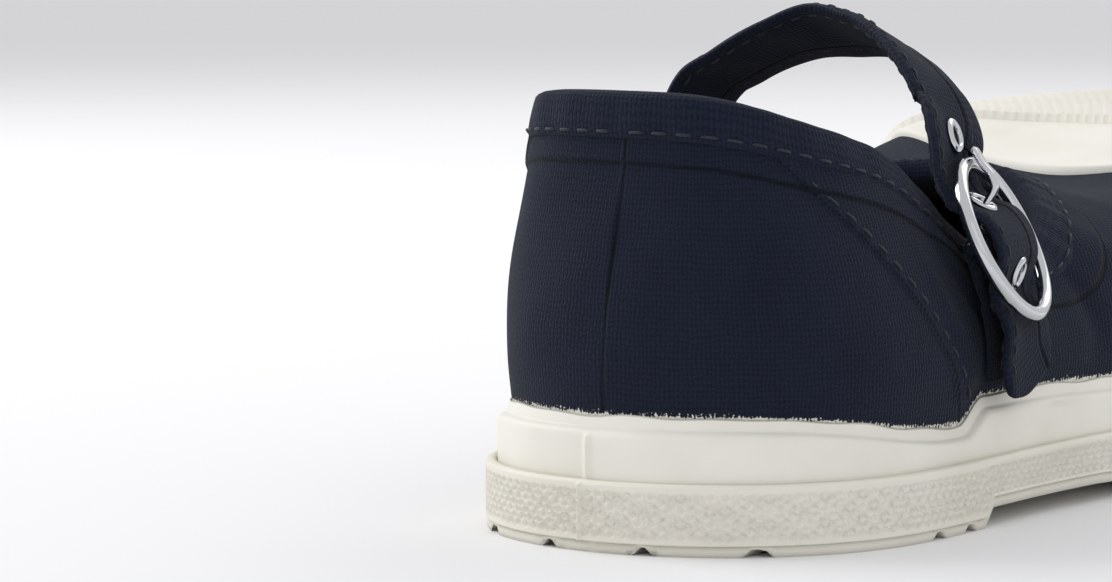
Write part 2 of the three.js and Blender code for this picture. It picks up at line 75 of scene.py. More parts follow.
def shade(tree, inputs):
    """Ends a material in one Principled shader."""
    shader = add(tree, "ShaderNodeBsdfPrincipled", inputs)
    add(tree, "ShaderNodeOutputMaterial", {"Surface": shader.outputs["BSDF"]})


scene = bpy.context.scene
scene.view_settings.view_transform = "Standard"
world = bpy.data.worlds.new("studio_sky")
world.use_nodes = True
world.node_tree.nodes["Background"].inputs["Color"].default_value = linear("#f4f4f6")
world.node_tree.nodes["Background"].inputs["Strength"].default_value = 0.80
scene.world = world

FLOOR_HALF = 40.0
floor_mesh = bpy.data.meshes.new("floor")
floor_mesh.from_pydata([(-FLOOR_HALF, -FLOOR_HALF, 0), (FLOOR_HALF, -FLOOR_HALF, 0),
                        (FLOOR_HALF, FLOOR_HALF, 0), (-FLOOR_HALF, FLOOR_HALF, 0)], [], [(0, 1, 2, 3)])
floor = bpy.data.objects.new("floor", floor_mesh)
scene.collection.objects.link(floor)
# painted studio floor: matt, so that it holds only a soft shadow
floor_paint, tree = new_material("painted_floor")
shade(tree, {"Base Color": linear("#f3f3f4"), "Roughness": 0.9})
floor_mesh.materials.append(floor_paint)

for light_name, place, size, watts in (
    ("key", (-1.1, -0.1, 0.9), 1.0, 9.0),
    ("fill", (1.3, -0.9, 0.9), 1.2, 0.8),
    ("back", (0.2, 1.4, 1.2), 1.2, 5.0),
):
    lamp = bpy.data.lights.new(light_name, "AREA")
    lamp.size = size
    lamp.energy = watts
    light = bpy.data.objects.new(light_name, lamp)
    light.location = place
    aim = np.array((0.0, 0.0, 0.03)) - np.array(place)
    light.rotation_euler = (math.acos(-aim[2] / np.linalg.norm(aim)), 0, math.atan2(-aim[0], aim[1]))
    scene.collection.objects.link(light)

# A long lens low behind the heel on the outer side.
CAMERA_PLACE = (229.3, -378.7, 62.9)
CAMERA_YAW, CAMERA_PITCH = 33.25, 4.65
lens = bpy.data.cameras.new("camera")
lens.sensor_width = 36
lens.lens = 127.8
lens.clip_end = 200
camera = bpy.data.objects.new("camera", lens)
camera.location = [v * MM for v in CAMERA_PLACE]
camera.rotation_euler = (math.radians(90 - CAMERA_PITCH), 0, math.radians(CAMERA_YAW))
scene.collection.objects.link(camera)
scene.camera = camera


# ---------------------------------------------------------------- outsole
# Natural rubber pressed in a mould: tread, heel block, arch and toe spring in
# one plate, with a thin lip that shows under the bands glued round its edge.

SOLE_LENGTH, HEEL_CENTRE, GAP = 185, 22, 0.3
HEEL_LIFT, HEEL_FRONT, HEEL_STEP = 2.2, 40, 1.6
BALL_START, BALL_END, TOE_SPRING = 104, 120, 15
TREAD_LIP, OUTSOLE, BAND_LOWER, BAND_UPPER, WALL = 1.2, 5, 1.1, 1.3, 1.5
INSET_UPPER_BAND = BAND_LOWER + GAP
INSET_CANVAS = INSET_UPPER_BAND + BAND_UPPER + GAP

# One row for each station round the last: outline x, y; collar and throat edge
# tx, ty, tz; the way the canvas leaves the sole (rise, lean) and reaches the
# edge (drop, reach).
STATIONS = np.array([
    #  x      y      tx     ty    tz    rise lean drop reach
    (0,     0,     0,     7.2,  48.8, 14, 2, 12, 0),    # heel_back
    (16.1,  5.2,   10.8,  10,   48,   15, 2, 11, 1),    # heel_quarter_out
    (25.8,  19.3,  16.6,  20,   45,   15, 2, 9, 3),     # heel_side_out
    (27.6,  38,    18.6,  33.5, 40.5, 13, 2, 8, 3),     # heel_front_out
    (27.8,  58,    19.4,  48.5, 31.5, 7, 1, 5, 3),      # waist_out
    (30,    80,    20.2,  62.5, 29.6, 6, 0, 4, 4),      # shank_out
    (33.4, 103, 18.2, 71, 33, 8, 0, 4, 8),              # joint_back_out
    (34.5, 125, 14, 77, 35.6, 12, 0, 7, 15),            # joint_out
    (32.5, 146, 9.5, 81, 37.4, 20, 0, 11, 25),          # joint_front_out
    (24, 167, 5, 83.4, 38.2, 30, 0, 14, 31),            # toe_corner_out
    (9, 180.5, 1.4, 84.5, 38.5, 33, 0, 16, 35),         # toe_quarter_out
    (-10, 185, -2, 84.8, 38.6, 34, 0, 17, 36),          # toe_tip
    (-28, 181, -5.5, 84.4, 38.5, 34, 0, 16, 35),        # toe_quarter_in
    (-40.5, 167, -9.2, 83, 38.1, 34, 0, 14, 31),        # toe_corner_in
    (-43, 147, -13.2, 79.5, 37.2, 19, 0, 11, 25),       # joint_front_in
    (-41, 127, -16.8, 74, 35.8, 10, 0, 7, 15),          # joint_in
    (-34.5, 104, -19.3, 66, 34.3, 9, 0, 4, 8),          # joint_back_in
    (-27, 82, -20.2, 57, 33.5, 8, 0, 4, 3),             # shank_in
    (-24,   59.5,  -20.6, 47,   37,   9, 1, 5, 2),      # waist_in
    (-26,   39,    -20,   35,   42.5, 13, 2, 7, 3),     # heel_front_in
    (-25.4, 20,    -18.6, 21,   47,   16, 2, 8, 3),     # heel_side_in
    (-16.1, 5.4,   -12.2, 10.6, 48.7, 15, 2, 11, 1),    # heel_quarter_in
], float)
ROUND, TOE = len(STATIONS), 11
control = STATIONS.copy()
for _ in range(60):
    control = (6 * STATIONS - np.roll(control, 1, 0) - np.roll(control, -1, 0)) / 4


def station(s, k):
    """Column k at s stations round the last: a closed cubic B-spline whose
    control values were relaxed until it passes through the rows."""
    i = np.floor(s).astype(int)
    t = s - i
    weights = ((1 - t) ** 3, 3 * t ** 3 - 6 * t ** 2 + 4, -3 * t ** 3 + 3 * t ** 2 + 3 * t + 1, t ** 3)
    return sum(w * control[(i + n - 1) % ROUND, k] for n, w in enumerate(weights)) / 6


def unit(v):
    """Vectors along the last axis divided by their length."""
    return v / np.maximum(np.linalg.norm(v, axis=-1, keepdims=True), 1e-9)


def outward(s):
    """Outward normal of the sole's outline in plan: its tangent turned right."""
    h = 0.01
    dx, dy = (station(s + h, k) - station(s - h, k) for k in (0, 1))
    return unit(np.stack([dy, -dx], -1))


def plan(s, inset):
    """Outline of the sole moved inward by inset along its normal."""
    n = outward(s)
    return station(s, 0) - n[..., 0] * inset, station(s, 1) - n[..., 1] * inset


def smooth(a, b, v):
    """Cubic ease from 0 at a to 1 at b."""
    t = np.clip((v - a) / (b - a), 0, 1)
    return t * t * (3 - 2 * t)


def spring(y):
    """Toe spring: a parabola past the ball."""
    return TOE_SPRING * (np.maximum(0, y - BALL_END) / (SOLE_LENGTH - BALL_END)) ** 2


def tread(y):
    """Underside: flat heel block, step up to the arch, floor at the ball, spring."""
    arch = HEEL_LIFT * (1 - smooth(HEEL_FRONT + 26, BALL_START, y)) + spring(y)
    return arch * np.clip((y - HEEL_FRONT) / HEEL_STEP, 0, 1)


def sole_top(y):
    """Top of the outsole: the arch and spring curve plus its thickness."""
    return HEEL_LIFT * (1 - smooth(HEEL_FRONT + 26, BALL_START, y)) + spring(y) + OUTSOLE


def lower_top(y):
    """Top of the textured band."""
    return spring(y) + 7.8 + 0.2 * smooth(40, 80, y) - 1.2 * smooth(84, 112, y)


def upper_top(y):
    """Top of the smooth band: dips along the heel, steps up at the waist."""
    return (spring(y) + 14.7 - 2.85 * smooth(5, 36, y) + 2.75 * smooth(38, 44, y)
            - 0.4 * smooth(55, 80, y) - smooth(84, 112, y) + 3.4 * smooth(140, 172, y))


def points_of(x, y, z):
    """Broadcasts plan and height into one array of points, heel centre at y = 0."""
    x, y, z = np.broadcast_arrays(x, y, z)
    return np.stack([x, y - HEEL_CENTRE, z], -1)


def make_piece(name, grid, closed=(False, False), uv=None, material=None, stands_for=(),
               fields=None, fans=()):
    """Turns a grid of points in mm, rows by columns, into one smooth mesh of
    quads, joined to itself where closed. uv has a value for every corner of
    the grid, with the closing row and column repeated."""
    rows, columns = grid.shape[:2]
    nr, nc = rows - (not closed[0]), columns - (not closed[1])
    r, c = np.meshgrid(np.arange(nr), np.arange(nc), indexing="ij")
    r1, c1 = (r + 1) % rows, (c + 1) % columns
    quads = np.stack([r * columns + c, r1 * columns + c, r1 * columns + c1, r * columns + c1], -1).reshape(-1, 4)
    loops, starts, totals = quads.ravel(), np.arange(len(quads)) * 4, np.full(len(quads), 4)
    for fan in fans:
        starts = np.append(starts, len(loops))
        totals = np.append(totals, len(fan))
        loops = np.append(loops, fan)
    mesh = bpy.data.meshes.new(name)
    mesh.vertices.add(rows * columns)
    mesh.vertices.foreach_set("co", (grid.reshape(-1, 3) * MM).astype(np.float32).ravel())
    mesh.loops.add(len(loops))
    mesh.loops.foreach_set("vertex_index", loops.astype(np.int32))
    mesh.polygons.add(len(starts))
    mesh.polygons.foreach_set("loop_start", starts.astype(np.int32))
    mesh.polygons.foreach_set("loop_total", totals.astype(np.int32))
    mesh.polygons.foreach_set("use_smooth", np.ones(len(starts), bool))
    if uv is not None:
        layer = mesh.uv_layers.new(name="cloth")
        if uv.ndim == 3:
            corner = np.stack([uv[r, c], uv[r + 1, c], uv[r + 1, c + 1], uv[r, c + 1]], 2).reshape(-1, 2)
        else:
            corner = uv.reshape(-1, 2)
        corner = np.vstack([corner, np.zeros((len(loops) - len(corner), 2))])
        layer.data.foreach_set("uv", corner.astype(np.float32).ravel())
    for field, values in (fields or {}).items():
        layer = mesh.attributes.new(field, "FLOAT", "POINT")
        layer.data.foreach_set("value", values.astype(np.float32).ravel())
    mesh.update(calc_edges=True)
    mesh.validate()
    piece = bpy.data.objects.new(name, mesh)
    scene.collection.objects.link(piece)
    if material:
        mesh.materials.append(material)
    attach(piece, "root")
    if stands_for:
        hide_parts(*stands_for)
    return piece


def rubber_material(name, colour, grain_mm, bump):
    """Moulded natural rubber: satin, faint cloudiness from the mixing and a fine
    grain that the press leaves."""
    material, tree = new_material(name)
    place = add(tree, "ShaderNodeTexCoord").outputs["Object"]
    cloud = add(tree, "ShaderNodeTexNoise", {"Vector": place, "Scale": 60.0, "Detail": 4.0})
    grain = add(tree, "ShaderNodeTexNoise", {"Vector": place, "Scale": 1000 / grain_mm, "Detail": 3.0})
    ramp = add(tree, "ShaderNodeMapRange", {"Value": cloud.outputs["Fac"], "From Min": 0.3, "From Max": 0.7})
    tint = add(tree, "ShaderNodeMix", {"Factor": ramp.outputs["Result"], 6: linear(colour[0]), 7: linear(colour[1])},
               data_type="RGBA")
    rough = add(tree, "ShaderNodeMapRange", {"Value": grain.outputs["Fac"], "To Min": 0.42, "To Max": 0.6})
    relief = add(tree, "ShaderNodeBump", {"Height": grain.outputs["Fac"], "Strength": bump, "Distance": 0.0002})
    shade(tree, {"Base Color": tint.outputs[2], "Roughness": rough.outputs["Result"], "IOR": 1.52,
                 "Normal": relief.outputs["Normal"]})
    return material


tread_rubber = rubber_material("moulded_tread_rubber", ("#dcd9cc", "#e6e3d8"), 0.9, 0.25)

GROOVE_WIDTH, GROOVE_DEPTH = 2.0, 0.9
HEEL_GROOVES_X, HEEL_GROOVES_Y = (-17, -6, 6, 17), (29, 36)
FOREFOOT_GROOVES_Y = np.arange(107, 180, 7.5)


def bar_groove(v, centre, width=GROOVE_WIDTH):
    """1 inside a groove of that width, easing to 0 over its 0.3 mm rounded edges."""
    return 1 - smooth(width / 2 - 0.15, width / 2 + 0.15, np.abs(v - centre))


ACROSS, ALONG = 110, 420
half = np.linspace(0, 1, ALONG // 2 + 1)
outer_s = TOE * half
# the place on the inner side with the same y, found on a fine table of the outline
inner_table = np.linspace(TOE, ROUND, 4001)
inner_y = station(inner_table, 1)
inner_s = np.interp(-station(outer_s, 1), -inner_y, inner_table)
f = np.linspace(0, 1, ACROSS)


def plate(inset, height):
    """Rows straight across the sole between places opposite each other, filled
    evenly from the outer to the inner side at the height given for each y."""
    xo, yo = plan(outer_s, inset)
    xi, yi = plan(inner_s, inset)
    x = xo[:, None] * (1 - f) + xi[:, None] * f
    y = yo[:, None] * (1 - f) + yi[:, None] * f
    return points_of(x, y, height(x, y))


def grooved(x, y):
    """Tread height with the grooves cut GROOVE_DEPTH deep."""
    cut = np.zeros_like(x)
    for gx in HEEL_GROOVES_X:
        cut = np.maximum(cut, bar_groove(x, gx) * (1 - smooth(24.8, 25.2, y)))
    for gy in HEEL_GROOVES_Y:
        cut = np.maximum(cut, bar_groove(y, gy))
    for gy in FOREFOOT_GROOVES_Y:
        cut = np.maximum(cut, bar_groove(y, gy))
    return tread(y) + GROOVE_DEPTH * cut


under = plate(0.25, grooved)
lip = plate(0.25, lambda x, y: tread(y) + TREAD_LIP)
top = plate(INSET_CANVAS, lambda x, y: sole_top(y))
lip_in = plate(INSET_CANVAS, lambda x, y: tread(y) + TREAD_LIP)
# sides are carried by extra columns at both ends of each row
sole_rows = np.concatenate([under, lip[:, -1:], lip_in[:, -1:], top[:, ::-1], lip_in[:, :1], lip[:, :1]], 1)
make_piece("outsole_rubber", sole_rows[:, ::-1], (False, True), None, tread_rubber, ("outsole",),
           fans=(np.arange(sole_rows.shape[1]),
                 (sole_rows.shape[0] - 1) * sole_rows.shape[1] + np.arange(sole_rows.shape[1])[::-1]))

# ---------------------------------------------------------------- textured band
# Calendered rubber strip glued round the edge of the outsole. A roller pressed
# a diamond of small pits into it, and its ends lap at the back of the heel.

band_rubber = rubber_material("calendered_band_rubber", ("#e4e0d2", "#eeebe0"), 0.7, 0.12)

PIT_ALONG, PIT_UP, PIT_DEPTH = 1.6, 1.45, 0.42
LAP_PLACE, LAP_WIDTH, LAP_HEIGHT = -1.6, 0.55, 0.42  # mm along the edge from the middle of the heel's back


def round_places(count):
    """Places round the last, evenly by station, and the arc length to each in mm."""
    s = np.arange(count + 1) / count * ROUND
    x, y = plan(s, 0)
    arc = np.concatenate([[0], np.cumsum(np.hypot(np.diff(x), np.diff(y)))])
    return s, arc


def band_loop(s, inset, thickness, low, high, side_rows, corner, relief):
    """Cross-sections of a band: outer wall from low to high, a rounded shoulder
    of the given corner size, back down inside. relief adds to the outer wall."""
    nx, ny = outward(s)[:, 0], outward(s)[:, 1]
    rows = []
    for k in range(side_rows + 1):
        part = k / side_rows
        x, y = plan(s, inset)
        z = low + (high - corner[1] - low) * part
        push = relief(part, z)
        rows.append(points_of(x + nx * push, y + ny * push, z))
    for angle in np.radians((22.5, 45, 67.5, 90)):
        x, y = plan(s, inset + corner[0] * (1 - np.cos(angle)))
        rows.append(points_of(x, y, high - corner[1] * (1 - np.sin(angle))))
    for z in (high, low):
        x, y = plan(s, inset + thickness)
        rows.append(points_of(x, y, z))
    return np.stack(rows, 1)


BAND_PLACES = 2080
s_band, arc_band = round_places(BAND_PLACES)
s_ring = s_band[:-1]
y_ring = plan(s_ring, 0)[1]


def lap_ridge(arc, width, height):
    """Bell-shaped ridge where the ends lap, and the overlying end's step, which
    dies away forward."""
    from_lap = (arc[:-1] - LAP_PLACE + arc[-1] / 2) % arc[-1] - arc[-1] / 2
    step = 0.22 * smooth(-0.2, 0.2, from_lap) * (1 - smooth(2, 26, from_lap))
    return height * np.exp(-(from_lap / (width / 2)) ** 2) + step


lap = lap_ridge(arc_band, LAP_WIDTH, LAP_HEIGHT)


def knurl(part, z):
    """Pits at the crossings of a diamond net: the product of two slanted cosines,
    sharpened, fading into plain edges above and below."""
    a = arc_band[:-1] / PIT_ALONG
    b = (z - tread(y_ring)) / PIT_UP
    net = np.cos(math.pi * (a + b)) * np.cos(math.pi * (a - b))
    pit = smooth(0.25, 0.9, np.abs(net))
    line = 1 - smooth(0.0, 0.16, np.abs(net))
    fade = smooth(0.05, 0.12, part) * (1 - smooth(0.88, 0.94, part))
    return -PIT_DEPTH * (0.85 * pit + 0.45 * line) * fade + lap


low_ring = tread(y_ring) + TREAD_LIP + 0.05
textured = band_loop(s_ring, 0, BAND_LOWER, low_ring, lower_top(y_ring), 40, (0.5, 0.45), knurl)
make_piece("textured_band", textured, (True, True), None, band_rubber, ("band_textured",))


# ---------------------------------------------------------------- smooth band
# Plain rubber strip behind the textured one, rolled in over the canvas while
# soft, so that its shoulder is round and its top edge thin and uneven.

foxing_rubber = rubber_material("rolled_foxing_rubber", ("#e9e6da", "#f3f1e8"), 1.4, 0.06)

FOXING_PLACES, DENT_PLACE = 1100, 205
s_foxing, arc_foxing = round_places(FOXING_PLACES)
s_f = s_foxing[:-1]
y_f = plan(s_f, 0)[1]
lap_f = lap_ridge(arc_foxing, 0.8, 0.4)
thumb = 0.35 * np.exp(-((arc_foxing[:-1] - arc_foxing[DENT_PLACE]) / 4) ** 2)
uneven = (0.12 * np.sin(arc_foxing[:-1] / 3.1) * np.sin(arc_foxing[:-1] / 7.7 + 1)
          + 0.08 * np.sin(arc_foxing[:-1] / 1.7))


def rolled(part, z):
    """Lap ridge at the heel and a slow hand-made waviness."""
    return lap_f + 0.05 * np.sin(arc_foxing[:-1] / 9) - thumb * smooth(0.5, 1, part)


foxing = band_loop(s_f, INSET_UPPER_BAND, BAND_UPPER, tread(y_f) + TREAD_LIP + GAP, upper_top(y_f) - 1.4, 14,
                   (1.0, 0.9), rolled)
# the thin skirt above the shoulder, up to the ragged edge on the canvas
skirt = []
for k, (inset, below) in enumerate(((1.05, 1.15), (1.2, 0.7), (1.32, 0.3), (1.42, 0.05))):
    x, y = plan(s_f, INSET_UPPER_BAND + inset)
    skirt.append(points_of(x, y, upper_top(y_f) - below + uneven * (0.4 + 0.3 * k)))
foxing = np.concatenate([foxing[:, :-2], np.stack(skirt, 1), foxing[:, -2:]], 1)
make_piece("smooth_band", foxing, (True, True), None, foxing_rubber, ("band_smooth",))


# ---------------------------------------------------------------- upper
# Two plies of plain-weave cotton canvas dyed navy: a heel panel and a front
# panel joined by curved side seams, with a seam down the back, pulled over the
# last and glued under the insole.

FOOT = 0.2
THREAD_ROUND, THREAD_UP = 0.56, 0.62  # spacing of the threads, drawn a little coarse so that they show


def canvas(s, t):
    """Outer face of the upper: a straight wall up to the top of the bands, then a
    cubic Bezier that leaves it by rise and lean and meets the edge by drop and reach."""
    s, t = np.broadcast_arrays(np.asarray(s, float), np.asarray(t, float))
    x, y = plan(s, INSET_CANVAS)
    n = outward(s)
    low, crease = sole_top(y) + GAP, upper_top(y)
    u = np.clip((t - FOOT) / (1 - FOOT), 0, 1)
    tx, ty, tz, rise, lean, drop, reach = (station(s, k) for k in range(2, 9))
    w = ((1 - u) ** 3, 3 * u * (1 - u) ** 2, 3 * u * u * (1 - u), u ** 3)
    px = w[0] * x + w[1] * (x + lean * n[..., 0]) + w[2] * (tx + reach * n[..., 0]) + w[3] * tx
    py = w[0] * y + w[1] * (y + lean * n[..., 1]) + w[2] * (ty + reach * n[..., 1]) + w[3] * ty
    pz = w[0] * crease + w[1] * (crease + rise) + w[2] * (tz - drop) + w[3] * tz
    wall = t < FOOT
    pz = np.where(wall, low + (crease - low) * np.clip(t / FOOT, 0, 1), pz)
    return np.stack([np.where(wall, x, px), np.where(wall, y, py), pz], -1)


def canvas_normal(s, t):
    """Cross product of the face's two directions."""
    h = 0.004
    t0, t1 = np.maximum(0, t - h), np.minimum(1, t + h)
    return unit(np.cross(canvas(s + h, t) - canvas(s - h, t), canvas(s, t1) - canvas(s, t0)))


def off_canvas(s, t, distance):
    """The face moved along its normal by distance, heel centre at y = 0."""
    return canvas(s, t) + canvas_normal(s, t) * np.asarray(distance, float)[..., None] - (0, HEEL_CENTRE, 0)


def below_edge(s, distance):
    """The t that lies so far below the collar or throat edge, from the face's
    speed there."""
    speed = np.linalg.norm(canvas(s, 1.0) - canvas(s, 0.96), axis=-1) / 0.04
    return 1 - distance / speed


def side_seam(t):
    """Station of the seam between heel panel and front panel at t: forward at the
    bands, curving back to the collar."""
    return 3.0 - 1.8 * (np.clip((t - 0.2) / 0.75, 0, 1.2)) ** 1.6


# Soft creases: middle (s, t), half lengths along s and t, turn, and depth in mm.
CREASES = (
    # s     t     ls    lt    turn  depth
    (3.35, 0.50, 0.10, 0.22, 0.25, -0.55),  # behind the buckle strap
    (3.05, 0.42, 0.09, 0.20, 0.20, 0.35),
    (2.75, 0.34, 0.30, 0.05, 0.0, 0.30),    # above the dip in the band
    (4.9, 0.55, 0.12, 0.30, -0.3, -0.45),   # waist
    (5.6, 0.45, 0.14, 0.28, -0.4, 0.40),
    (6.7, 0.55, 0.20, 0.12, 0.5, -0.50),    # joint
    (7.6, 0.62, 0.45, 0.05, 0.1, -0.60),
    (8.8, 0.80, 1.20, 0.03, 0.0, -0.35),
    (14.3, 0.62, 0.45, 0.05, -0.1, -0.60),
    (15.4, 0.55, 0.20, 0.12, -0.5, -0.50),
    (17.2, 0.50, 0.14, 0.28, 0.4, 0.45),
    (18.4, 0.55, 0.12, 0.26, 0.3, -0.50),
    (19.2, 0.45, 0.12, 0.22, -0.2, 0.35),
    (20.6, 0.62, 0.25, 0.18, 0.0, -0.35),
    (1.0, 0.62, 0.35, 0.22, 0.0, -0.30),
    (21.3, 0.36, 0.40, 0.08, 0.0, 0.30),
)


def creases(s, t):
    """Sum of turned Gaussian troughs and ridges, in mm."""
    total = np.zeros(np.broadcast(s, t).shape)
    for cs, ct, ls, lt, turn, depth in CREASES:
        a, b = s - cs, (t - ct) * 4
        p, q = a * np.cos(turn) + b * np.sin(turn), -a * np.sin(turn) + b * np.cos(turn)
        total = total + depth * np.exp(-(p / ls) ** 2 - (q / (4 * lt)) ** 2)
    slow = 0.10 * np.sin(2.1 * s + 9 * t) + 0.07 * np.sin(5.3 * s - 14 * t + 1)
    return (total + slow) * smooth(0.22, 0.32, t) * (1 - smooth(0.9, 0.97, t))


def woven(tree, u, v, round_mm, up_mm):
    """Plain weave over u, v in mm: each thread is the absolute sine across it, and
    where the product of both sines is positive the thread round the shoe is on top."""
    def math_node(operation, a, b=0.5, clamp=False):
        return add(tree, "ShaderNodeMath", {0: a, 1: b}, operation=operation, use_clamp=clamp).outputs[0]
    sine_u = math_node("SINE", math_node("MULTIPLY", u, math.pi / round_mm))
    sine_v = math_node("SINE", math_node("MULTIPLY", v, math.pi / up_mm))
    over = math_node("ADD", math_node("MULTIPLY", math_node("MULTIPLY", sine_u, sine_v), 1.2), 0.5, True)
    under = math_node("SUBTRACT", 1.0, over)
    raised = math_node("ADD", math_node("MULTIPLY", over, 0.5), 0.5)
    warp = math_node("MULTIPLY", math_node("ABSOLUTE", sine_u), raised)
    sunk = math_node("ADD", math_node("MULTIPLY", under, 0.5), 0.45)
    weft = math_node("MULTIPLY", math_node("ABSOLUTE", sine_v), sunk)
    return math_node("MAXIMUM", warp, weft), math_node


def canvas_material(name, colours, fields=False):
    """Matt dyed cotton canvas: raised threads with painted shade between them, uneven dye,
    pale lint, painted shade darkening the seam lines, and whitened by rubber cement just above the bands."""
    material, tree = new_material(name)
    cloth = add(tree, "ShaderNodeUVMap", uv_map="cloth").outputs["UV"]
    wobble = add(tree, "ShaderNodeTexNoise", {"Vector": cloth, "Scale": 0.35, "Detail": 3.0})
    shift = add(tree, "ShaderNodeVectorMath", {0: wobble.outputs["Color"], 1: (0.9, 0.9, 0.0)}, operation="MULTIPLY")
    bent = add(tree, "ShaderNodeVectorMath", {0: cloth, 1: shift.outputs[0]}, operation="ADD")
    axes = add(tree, "ShaderNodeSeparateXYZ", {0: bent.outputs[0]})
    height, math_node = woven(tree, axes.outputs[0], axes.outputs[1], THREAD_ROUND, THREAD_UP)
    slub = add(tree, "ShaderNodeTexNoise", {"Vector": cloth, "Scale": 2.4, "Detail": 2.0})
    height = math_node("MULTIPLY", height, math_node("ADD", math_node("MULTIPLY", slub.outputs["Fac"], 0.9), 0.55))
    dye = add(tree, "ShaderNodeTexNoise", {"Vector": cloth, "Scale": 0.12, "Detail": 5.0})
    dyed = math_node("MULTIPLY", dye.outputs["Fac"], 0.4)
    # Painted shade at thread scale: the tint is darkest between the threads and lightest on the raised ones, mixed
    # with the uneven dye
    depth = math_node("ADD", math_node("MULTIPLY", height, 0.62), dyed, True)
    tint = add(tree, "ShaderNodeMix", {"Factor": depth, 6: linear(colours[0]), 7: linear(colours[1])},
               data_type="RGBA").outputs[2]
    fluff = add(tree, "ShaderNodeTexNoise", {"Vector": cloth, "Scale": 1.7, "Detail": 6.0, "Roughness": 0.75})
    lint = add(tree, "ShaderNodeMapRange", {"Value": fluff.outputs["Fac"], "From Min": 0.66, "From Max": 0.78})
    tint = add(tree, "ShaderNodeMix", {"Factor": math_node("MULTIPLY", lint.outputs["Result"], 0.35), 6: tint,
                                       7: linear("#7b8093")}, data_type="RGBA").outputs[2]
    bump_height = height
    if fields:
        # Painted shade: near the seam, facing and hem lines the canvas is mixed towards #0b0e17 as the shade in their
        # grooves, and the bump raises the cloth away from them
        seam = add(tree, "ShaderNodeAttribute", attribute_name="seam").outputs["Fac"]
        line = add(tree, "ShaderNodeMapRange", {"Value": math_node("ABSOLUTE", seam), "From Min": 0.08,
                                                "From Max": 0.42}, interpolation_type="SMOOTHSTEP").outputs["Result"]
        tint = add(tree, "ShaderNodeMix", {"Factor": line, 6: linear("#0b0e17"), 7: tint},
                   data_type="RGBA").outputs[2]
        bump_height = math_node("ADD", bump_height, math_node("MULTIPLY", line, 1.6))
        above = add(tree, "ShaderNodeAttribute", attribute_name="above_band").outputs["Fac"]
        rag = add(tree, "ShaderNodeTexNoise", {"Vector": cloth, "Scale": 1.6, "Detail": 4.0, "Roughness": 0.7})
        reach = math_node("ADD", math_node("MULTIPLY", rag.outputs["Fac"], 1.5), math_node("MULTIPLY", height, -0.45))
        cement = add(tree, "ShaderNodeMapRange", {"Value": math_node("SUBTRACT", reach, above), "From Min": 0.18,
                                                  "From Max": 0.3}).outputs["Result"]
        tint = add(tree, "ShaderNodeMix", {"Factor": cement, 6: tint, 7: linear("#e6e3d8")},
                   data_type="RGBA").outputs[2]
    relief = add(tree, "ShaderNodeBump", {"Height": bump_height, "Strength": 0.55, "Distance": 0.00022})
    shade(tree, {"Base Color": tint, "Roughness": 0.9, "Specular IOR Level": 0.14, "Sheen Weight": 0.05,
                 "Sheen Roughness": 0.5,
                 "Normal": relief.outputs["Normal"]})
    return material


navy_canvas = canvas_material("dyed_cotton_canvas", ("#080b15", "#1f2638"), fields=True)

COLUMNS, ROWS = 900, 78
s_up, arc_up = round_places(COLUMNS)
t_up = np.concatenate([[0, 0.1], FOOT + (1 - FOOT) * np.linspace(0, 1, ROWS - 2)])
S, T = np.meshgrid(s_up[:-1], t_up, indexing="ij")
T_LIMIT = np.minimum(T, 0.998)
seam_shift = side_seam(T)
mm_per_station = np.gradient(arc_up, s_up)[:-1][:, None]
outer_seam, inner_seam = S - seam_shift, (ROUND - seam_shift) - S
back_seam = (np.where(S > ROUND / 2, S - ROUND, S) + 0.03 - 0.06 * T)
from_edge = (1 - T) * np.linalg.norm(canvas(S, 1.0) - canvas(S, 0.96), axis=-1) / 0.04
heel_side = (outer_seam < 0) | (inner_seam < 0)
# nearest: distance in mm to the side and back seams and the facing edge, which the canvas material darkens as painted
# shade
shaded_seam_distance = np.minimum(np.abs(outer_seam), np.abs(inner_seam)) * mm_per_station
shaded_seam_distance = np.minimum(shaded_seam_distance, np.abs(back_seam) * mm_per_station)
FACING_EDGE, NO_SEAM = 7.2, 9  # mm below the collar's edge; a distance that draws no line
to_facing = np.abs(from_edge - FACING_EDGE)
shaded_seam_distance = np.minimum(shaded_seam_distance, np.where(heel_side | (to_facing < 1), to_facing, NO_SEAM))
ply = 0.30 * smooth(-0.35, 0.0, np.minimum(outer_seam, inner_seam) * mm_per_station)
facing = 0.25 * (1 - smooth(FACING_EDGE - 0.2, FACING_EDGE + 0.2, from_edge))
outer_face = off_canvas(S, T_LIMIT, creases(S, T) + ply * smooth(0.22, 0.3, T) + facing * smooth(0.5, 0.6, T))
inner_face = off_canvas(S, T_LIMIT, np.full(S.shape, -float(WALL)) + 0.6 * creases(S, T))
inner_rows = np.r_[np.arange(ROWS)[::-4], 0]
upper_grid = np.concatenate([outer_face, inner_face[:, inner_rows]], 1)


def cloth_uv(s, t, arc):
    """Cloth coordinates in mm. The heel panel unrolls round the shoe and upward;
    the front panel is laid over it from the middle line, down each side."""
    p = canvas(s, t)
    heel = np.stack([np.broadcast_to(arc, s.shape), p[..., 2] * 1.03], -1)
    front = np.stack([np.sign(p[..., 0] + 1e-6) * (np.abs(p[..., 0]) + 60 - p[..., 2]), p[..., 1]], -1)
    return heel, front


